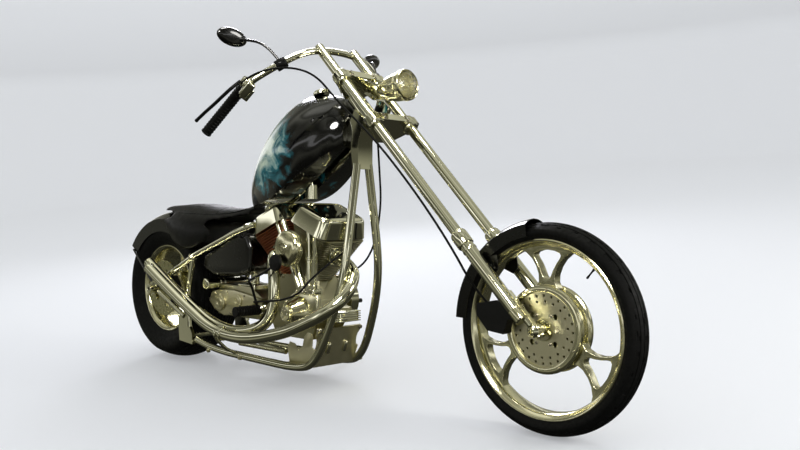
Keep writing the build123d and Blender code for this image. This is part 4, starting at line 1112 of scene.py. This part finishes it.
# Cam cover: plate, turned cone and a fluted cap with six screws
camPlate = makePlate("camPlate", [(0.860, 0.250), (1.040, 0.240), (1.080, 0.290), (1.070, 0.380),
                                  (0.960, 0.384), (0.880, 0.340)], -0.0745, -0.0995, 0.005)
camCone = turnPiece("camCone", [(-0.002, 0), (-0.002, 0.0600), (0.003, 0.0612), (0.008, 0.0590),
                                (0.060, 0.0372), (0.064, 0.0345), (0.067, 0.0340), (0.067, 0)],
                    (0.978, -0.100, 0.300), rightward, 72, 30)
camCap = turnPiece("camCap", [(0, 0), (0, 0.0285), (0.002, 0.0300), (0.008, 0.0300), (0.012, 0.0270),
                              (0.0135, 0.0200), (0.0140, 0.0100), (0.0128, 0.0085), (0.0128, 0)],
                   (0.978, -0.166, 0.300), rightward, 48, 30)
cutFlutes(camCap, 0.978, 0.300, 0.0235, -0.168, -0.190, 0.0005, 0.0018)
settle(joinPieces([camPlate, camCone, camCap], "camCover"), "root", "polishedAluminium",
       stands=["cam_cover"])
boltSet("camScrews", ringSpots((0.978, -0.1795, 0.300), rightward, 0.0155, 6), "root", 0.0027)
rim = [(0.872, 0.258), (0.950, 0.254), (1.034, 0.249), (1.068, 0.296), (1.060, 0.370), (0.966, 0.376),
       (0.890, 0.335)]
boltSet("camPlateBolts", [(Vector((x, -0.0993, z)), rightward) for x, z in rim], "root", 0.0038)
caseRim = [(0.812, 0.204), (0.905, 0.202), (0.998, 0.203), (0.776, 0.262), (0.778, 0.340), (0.842, 0.428),
           (0.975, 0.430)]
caseSpots = [(Vector((x, side * 0.0742, z)), Vector((0, side, 0))) for x, z in caseRim for side in (-1, 1)]
boltSet("caseBolts", caseSpots, "root", 0.0042)

# Gearbox: case, buffed side cover with two ribbed bosses, and the starter over it
gearCase = makePlate("gearCase", [(0.400, 0.240), (0.700, 0.240), (0.720, 0.330), (0.640, 0.375),
                                  (0.420, 0.375), (0.390, 0.320)], 0.084, -0.084, 0.006)
settle(gearCase, "root", "castAluminium", stands=["gearbox"])
sideCover = makePlate("sideCover", [(0.356, 0.300), (0.400, 0.262), (0.470, 0.240), (0.560, 0.252),
                                    (0.640, 0.285), (0.726, 0.330), (0.640, 0.345), (0.541, 0.356),
                                    (0.430, 0.352), (0.380, 0.338)], -0.083, -0.103, 0.006)
bosses = [sideCover]
for (x, z), scale in (((0.446, 0.296), 1.0), ((0.575, 0.312), 0.78)):
    boss = turnPiece("boss", [(-0.002, 0), (-0.002, 0.037 * scale), (0.006, 0.036 * scale),
                              (0.009, 0.032 * scale), (0.0095, 0.022 * scale), (0.012, 0.020 * scale),
                              (0.012, 0.012 * scale), (0.0095, 0.010 * scale), (0.0095, 0)], (x, -0.103, z),
                     rightward, 48, 30)
    cutFlutes(boss, x, z, 0.022 * scale, -0.1125, -0.1138, 0.0006, 0.002)
    bosses.append(boss)
settle(joinPieces(bosses, "gearboxCover"), "root", "buffedAluminium")
gearRim = [(0.372, 0.304), (0.410, 0.335), (0.500, 0.344), (0.620, 0.336), (0.700, 0.326), (0.640, 0.294),
           (0.520, 0.256), (0.412, 0.266)]
boltSet("gearboxBolts", [(Vector((x, -0.1025, z)), rightward) for x, z in gearRim], "root", 0.0038)
starterBody = turnPiece("starterBody", [
    (0, 0), (0, 0.0200), (0.002, 0.0236), (0.009, 0.0240), (0.010, 0.0215), (0.068, 0.0215),
    (0.070, 0.0240), (0.080, 0.0240), (0.081, 0.0215), (0.090, 0.0215), (0.092, 0.0240), (0.204, 0.0240),
    (0.205, 0.0220), (0.205, 0)], (0.392, -0.145, 0.374), leftward, 56)
settle(starterBody, "root", "chrome", stands=["starter"])
topCover = makeBlock("gearTopCover", (0.600, -0.045, 0.366), (0.120, 0.075, 0.036), 0.006, 4)
settle(topCover, "root", "chrome")

# Ribbed oil cooler ahead of the case
cooler = dict(ribs=5, low=0.2725, pitch=0.0088)
ribs = [makeBlock("cooler", (1.132, 0, 0.290), (0.040, 0.104, 0.044), 0.003, 2)]
for i in range(cooler["ribs"]):
    height = cooler["low"] + cooler["pitch"] * i
    ribs.append(makeBlock("coolerRib", (1.134, 0, height), (0.052, 0.112, 0.0042), 0.0012, 2))
settle(joinPieces(ribs, "oilCooler"), "root", "chrome")

# Side plates and louvres of the skid plate, rods under the gearbox, output pulley, rail bolts
sidePlate = makePlate("sidePlate", [(0.930, 0.097), (1.062, 0.100), (1.086, 0.160), (1.064, 0.172),
                                    (1.069, 0.212), (1.058, 0.226), (1.036, 0.226), (1.018, 0.208),
                                    (1.008, 0.170), (0.985, 0.152), (0.962, 0.176), (0.930, 0.180),
                                    (0.918, 0.150)], -0.1085, -0.1125, 0.0012)
sidePlateLeft = copyPiece(sidePlate, mirrorSide, "sidePlateLeft")
settle(joinPieces([sidePlate, sidePlateLeft], "sidePlates"), "root", "buffedAluminium")
slope = Vector((0.047, 0, 0.153)).normalized()
louvre = turnPiece("louvre", [(-0.023, 0), (-0.0224, 0.005), (-0.020, 0.0085), (-0.016, 0.0098),
                              (0.016, 0.0098), (0.020, 0.0085), (0.0224, 0.005), (0.023, 0)],
                   (1.0815, -0.044, 0.164), slope, 24, 60)
louvreLeft = copyPiece(louvre, mirrorSide, "louvreLeft")
settle(joinPieces([louvre, louvreLeft], "skidLouvres"), "root", "chrome")
cradleLine = [(0, 0), (0, 0.010), (0.315, 0.010), (0.315, 0)]
cradle = [turnPiece("cradleRod", cradleLine, (0.517, y, 0.120), (1, 0, 0), 28) for y in (-0.050, 0.050)]
settle(joinPieces(cradle, "cradleRods"), "root", "polishedAluminium")
output = turnPiece("outputPulley", [(0, 0), (0, 0.016), (0.0395, 0.016), (0.0395, 0.041), (0.0405, 0.042),
                                    (0.0555, 0.042), (0.0565, 0.041), (0.0565, 0.030), (0.060, 0.028),
                                    (0.060, 0.018), (0.062, 0.016), (0.062, 0)],
                   (0.560, 0.084, 0.300), leftward, 64)
settle(output, "root", "groundSteel")
railSpots = [(Vector((x, side * 0.1395, z)), Vector((0, side, -0.35)))
             for x, z in ((0.414, 0.088), (0.641, 0.084)) for side in (-1, 1)]
boltSet("railBolts", railSpots, "root", 0.0085, "buffedAluminium")
boltSet("skidBolts", [(Vector((1.100, side * 0.106, 0.236)), Vector((1, side * 0.4, 0)))
                      for side in (-1, 1)], "root", 0.008)

# Exhaust: two band clamps joined by a lug, rolled lips at the open ends, and rings on the upper stays
outerAxis = Vector((-1, 0, 0.055))
bands = [turnPiece("band", [(-0.006, 0.0238), (-0.006, 0.0262), (-0.0045, 0.0270), (0.0045, 0.0270),
                            (0.006, 0.0262), (0.006, 0.0238), (-0.006, 0.0238)],
                   (x, -0.243, 0.1945), outerAxis, 56) for x in (0.668, 0.640)]
bands.append(makeBlock("bandLug", (0.654, -0.243, 0.2245), (0.040, 0.012, 0.008), 0.002, 2))
settle(joinPieces(bands, "exhaustBands"), "root", "chrome")
lips = [turnPiece("pipeLip", [(-0.006, 0.0238), (-0.006, 0.0247), (-0.001, 0.0252), (0.0, 0.0246),
                              (0.0, 0.0218), (-0.003, 0.0212), (-0.006, 0.0238)], end, way, 48, 50)
        for end, way in pipeEnds]
settle(joinPieces(lips, "pipeLips"), "root", "chrome")
stayRings = []
for side in (-1, 1):
    start, end = Vector((0.340, side * 0.150, 0.504)), Vector((0.150, side * 0.156, 0.414))
    stayRings.append(turnPiece("stayRing", [(-0.007, 0.014), (-0.007, 0.0195), (-0.004, 0.0208),
                                            (0.004, 0.0208), (0.007, 0.0195), (0.007, 0.014),
                                            (-0.007, 0.014)],
                               start + (end - start) * 0.18, end - start, 40))
settle(joinPieces(stayRings, "stayRings"), "root", "chrome")
print("engine trim made")

# Foot rests: ribbed rubber over steel pegs, levers, and a half round rubber pad on the brake pedal
pegProfile = [(0, 0), (0, 0.0120), (0.004, 0.0205), (0.010, 0.0210)]
for i in range(8):
    at = 0.014 + i * 0.012
    pegProfile += [(at, 0.0190), (at + 0.002, 0.0208), (at + 0.0085, 0.0208), (at + 0.0105, 0.0190)]
pegProfile += [(0.112, 0.0210), (0.118, 0.0205), (0.1195, 0.018), (0.1195, 0)]
peg = turnPiece("peg", pegProfile, (0.764, -0.136, 0.293), rightward, 40, 30)
pegLeft = copyPiece(peg, Matrix.Translation((0, 0.049, 0.007)) @ mirrorSide, "pegLeft")
settle(joinPieces([peg, pegLeft], "footPegs"), "root", "rubber", stands=["foot_controls"])


def makeRod(name, start, end, radius):
    start, end = Vector(start), Vector(end)
    length = (end - start).length
    soft = radius * 0.2
    return turnPiece(name, [(0, 0), (0, radius - soft), (soft, radius), (length - soft, radius),
                            (length, radius - soft), (length, 0)], start, end - start, 28, 50)


levers = [makeRod("pegMount", (0.790, -0.074, 0.310), (0.764, -0.142, 0.296), 0.012),
          makeRod("shiftShaft", (0.830, 0.185, 0.290), (0.830, 0.214, 0.290), 0.009),
          makeRod("shiftLever", (0.830, 0.206, 0.290), (0.950, 0.208, 0.318), 0.006),
          makeRod("leftPegMount", (0.764, 0.176, 0.300), (0.764, 0.196, 0.300), 0.0135)]
settle(joinPieces(levers, "footLevers"), "root", "chrome")
toe = makeRod("shiftToe", (0.950, 0.200, 0.318), (0.950, 0.260, 0.318), 0.009)
settle(toe, "root", "rubber")
pedalArm = meshTube("pedalArm", [(0.764, -0.144, 0.300), (0.761, -0.158, 0.350), (0.762, -0.174, 0.394),
                                 (0.780, -0.206, 0.414), (0.840, -0.217, 0.432), (0.900, -0.217, 0.455),
                                 (0.958, -0.208, 0.488)], 0.0052)
settle(pedalArm, "root", "satinBlack")
pad = turnPiece("pedalPad", [(-0.001, 0), (-0.001, 0.030), (0.001, 0.0325), (0.009, 0.0328),
                             (0.0125, 0.0310), (0.0138, 0.026), (0.0142, 0)], (0.962, -0.205, 0.497),
                rightward + Vector((0, 0, 0.07)), 48, 40)
editAll(pad)
bpy.ops.mesh.bisect(plane_co=(0.962, -0.21, 0.497), plane_no=(0, 0, 1))
finishEdit(40)
settle(pad, "root", "rubber")
knuckle = turnPiece("pegKnuckle", [(0, 0), (0, 0.012), (0.003, 0.0165), (0.020, 0.0165), (0.023, 0.0135),
                                   (0.045, 0.0135), (0.045, 0)], (0.764, -0.138, 0.294), leftward, 32)
settle(knuckle, "root", "chrome")

# Tail lamp lens, ear bolts of the front fender
tailLens = turnPiece("tailLens", [(-0.004, 0), (-0.004, 0.0330), (0.000, 0.0325), (0.006, 0.0300),
                                  (0.010, 0.0240), (0.0125, 0.0140), (0.0130, 0)], (-0.349, 0, 0.4625),
                     Vector((-0.030, 0, -0.008)), 56, 60)
settle(tailLens, "root", "redAcrylic")
boltSet("fenderBolts", [(Vector((1.873, side * 0.0585, 0.518)), Vector((0, side, 0))) for side in (-1, 1)],
        "steering", 0.0075, "polishedAluminium")
print("foot rests and lamps made")

# Seat: the CAD block as leather over foam, sides and underside held while the top is blown up, then piped
seat = dict(voxel=0.0075, smoothing=10, pressure=4.0, mass=0.2, bending=2.0, topSlope=0.25, frames=20,
            cap=0.009, piping=0.0022)
cushion = copyNode("seat", "seatCushion")
finishEdit(60)
applyModifier(cushion, "evenMesh", "REMESH", {"mode": "VOXEL", "voxel_size": seat["voxel"]})
applyModifier(cushion, "softEdges", "SMOOTH", {"factor": 0.5, "iterations": seat["smoothing"]})
before = [v.co.copy() for v in cushion.data.vertices]
skyward = parked.to_3x3() @ Vector((0, 0, 1))
held = cushion.vertex_groups.new(name="held")
held.add([v.index for v in cushion.data.vertices if v.normal.dot(skyward) < seat["topSlope"]], 1.0,
         "ADD")
foam = cushion.modifiers.new("foam", "CLOTH")
foam.settings.quality = 5
foam.settings.mass = seat["mass"]
foam.settings.bending_stiffness = seat["bending"]
foam.settings.use_pressure = True
foam.settings.uniform_pressure_force = seat["pressure"]
foam.settings.effector_weights.gravity = 0
foam.settings.vertex_group_mass = "held"
foam.point_cache.frame_start = 1
foam.point_cache.frame_end = seat["frames"]
for step in range(1, seat["frames"] + 1):
    bpy.context.scene.frame_set(step)
bpy.ops.object.modifier_apply(modifier="foam")
bpy.context.scene.frame_set(1)
for vertex, place in zip(cushion.data.vertices, before):
    moved = vertex.co - place
    if moved.length > seat["cap"]:
        vertex.co = place + moved.normalized() * seat["cap"]
editAll(cushion)
finishEdit(80)
stitched = []
down = parked.to_3x3() @ Vector((0, 0, -1))


def onSeat(x, y):
    found, place, normal, face = cushion.ray_cast(parked @ Vector((x, y, 0.80)), down)
    return parked.inverted() @ place if found else None


for side in (-1, 1):
    edge = [onSeat(x, side * y) for x, y in ((-0.020, 0.066), (0.040, 0.104), (0.110, 0.118),
                                             (0.190, 0.122), (0.270, 0.118), (0.350, 0.108), (0.430, 0.092),
                                             (0.510, 0.068), (0.560, 0.050))]
    edge = [place for place in edge if place]
    if len(edge) > 3:
        stitched.append(meshTube("seatPiping", edge, seat["piping"]))
seam = [onSeat(0.385 + 0.5 * abs(y) ** 1.5, y) for y in (-0.094, -0.07, -0.035, 0, 0.035, 0.07, 0.094)]
seam = [place for place in seam if place]
if len(seam) > 3:
    stitched.append(meshTube("seatSeam", seam, seat["piping"]))
settle(joinPieces(stitched, "seatPiping"), "root", "leather")
settle(cushion, "root", "leather", False, ["seat"])
print("seat cushion made")

# Floor and soft light: a pale dish that rises far behind, with four broad lamps
studio = dict(floor=15.0, rise=3.0, steps=8, paint="CDCECF", glow="F0F2F5", glowStrength=0.33)
deselectAll()
bpy.ops.mesh.primitive_circle_add(vertices=96, radius=studio["floor"], fill_type="NGON", location=(0, 0, 0))
dish = bpy.context.object
dish.name = "studioFloor"
bpy.ops.object.mode_set(mode="EDIT")
for step in range(1, studio["steps"] + 1):
    lean = step / studio["steps"] * pi / 2
    last = (step - 1) / studio["steps"] * pi / 2
    outward = studio["rise"] * (sin(lean) - sin(last))
    rise = studio["rise"] * (cos(last) - cos(lean))
    radiusNow = studio["floor"] + studio["rise"] * sin(last)
    bpy.ops.mesh.extrude_region_move(TRANSFORM_OT_translate={"value": (0, 0, rise)})
    bpy.ops.transform.resize(value=((radiusNow + outward) / radiusNow,) * 2 + (1,))
bpy.ops.object.mode_set(mode="OBJECT")
bpy.ops.object.shade_smooth()
studioPaint, tree, shader = startMaterial("palePlaster", {
    "Base Color": hexColour(studio["paint"]), "Roughness": 0.9, "Emission Color": hexColour(studio["glow"]),
    "Emission Strength": studio["glowStrength"]})
bumpOf(tree, shader, noiseOf(tree, 40, 3), 0.05, 0.002)
dish.data.materials.append(studioPaint)
dish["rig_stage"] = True

lamps = dict(
    key=((2.4, -3.4, 3.8), 1.6, 280, "FFFDF8"), fill=((5.2, 1.8, 2.6), 1.8, 110, "FFFDF8"),
    back=((-3.2, 2.8, 3.2), 2.0, 150, "F6F6FF"), top=((0.6, 0.0, 4.6), 1.5, 130, "FFFEFA"))
for name, (place, size, power, colour) in lamps.items():
    light = bpy.data.lights.new(name + "Lamp", "AREA")
    light.shape = "DISK"
    light.size = size
    light.energy = power
    light.color = hexColour(colour)[:3]
    holder = bpy.data.objects.new(name + "Lamp", light)
    bpy.context.scene.collection.objects.link(holder)
    holder.location = place
    holder.rotation_euler = (Vector((0.1, 0, 0.5)) - Vector(place)).to_track_quat("-Z", "Y").to_euler()

# The room that the chrome mirrors: warm grey walls, a bright band of windows above eye level, lit ceiling
room = dict(strength=1.45, patches=1.7, wave=0.55, lift=0.22, height=0.5)
world = bpy.data.worlds.new("softRoom")
bpy.context.scene.world = world
world.use_nodes = True
tree = world.node_tree
direction = addNode(tree, "ShaderNodeTexCoord").outputs["Generated"]
height = addNode(tree, "ShaderNodeSeparateXYZ", links={"Vector": direction}).outputs["Z"]
patches = addNode(tree, "ShaderNodeTexNoise", values={"Scale": room["patches"], "Detail": 1.0},
                  links={"Vector": direction})
wavy = addNode(tree, "ShaderNodeMath", {"operation": "MULTIPLY_ADD"}, {1: room["wave"], 2: room["lift"]},
               {0: patches.outputs["Fac"]})
level = addNode(tree, "ShaderNodeMath", {"operation": "MULTIPLY_ADD"}, {1: room["height"]},
                {0: height, 2: wavy.outputs[0]})
walls = addNode(tree, "ShaderNodeValToRGB", links={"Fac": level.outputs[0]})
bands = [(0.0, "1E1E1A"), (0.28, "33332C"), (0.40, "8A8A7C"), (0.47, "3C3C34"), (0.555, "6A6A5E"),
         (0.585, "FFFFFF"), (0.625, "FFFFFF"), (0.65, "77776C"), (0.76, "46463E"), (0.86, "A9A99C"),
         (0.90, "5C5C52"), (1.0, "D8D8CE")]
for place, colour in bands[1:-1]:
    walls.color_ramp.elements.new(place)
for element, (place, colour) in zip(walls.color_ramp.elements, bands):
    element.position = place
    element.color = hexColour(colour)
background = tree.nodes["Background"]
tree.links.new(walls.outputs["Color"], background.inputs["Color"])
background.inputs["Strength"].default_value = room["strength"]
dish.visible_glossy = False      # the chrome mirrors the room, not the pale floor
bpy.context.scene.view_settings.view_transform = "Standard"
print("studio lit")

# CAD nodes whose shape is right: rounded and given their finish
dressed = dict(
    chrome=["fork_tubes", "fork_legs", "upper_clamp", "lower_clamp", "neck", "backbone", "upper_stays",
            "lower_stays", "rear_axle", "front_axle", "exhaust_bracket", "canister", "primary_cover",
            "stand_bracket", "side_stand", "lamp_bracket"],
    buffedAluminium=["skid_plate", "front_disc"],
    castAluminium=["crankcase"],
    groundSteel=["rear_disc", "rear_pulley"],
    lacquer=["front_fender", "oil_tank"],
    tankLacquer=["fuel_tank"],
    fenderLacquer=["rear_fender"],
    satinBlack=["caliper", "rear_caliper", "tail_lamp"],
    rubber=["drive_belt"])
for finish, nodes in dressed.items():
    for node in nodes:
        dressNode(node, finish)
print("frame nodes dressed")

size = [list(corner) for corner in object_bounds()]
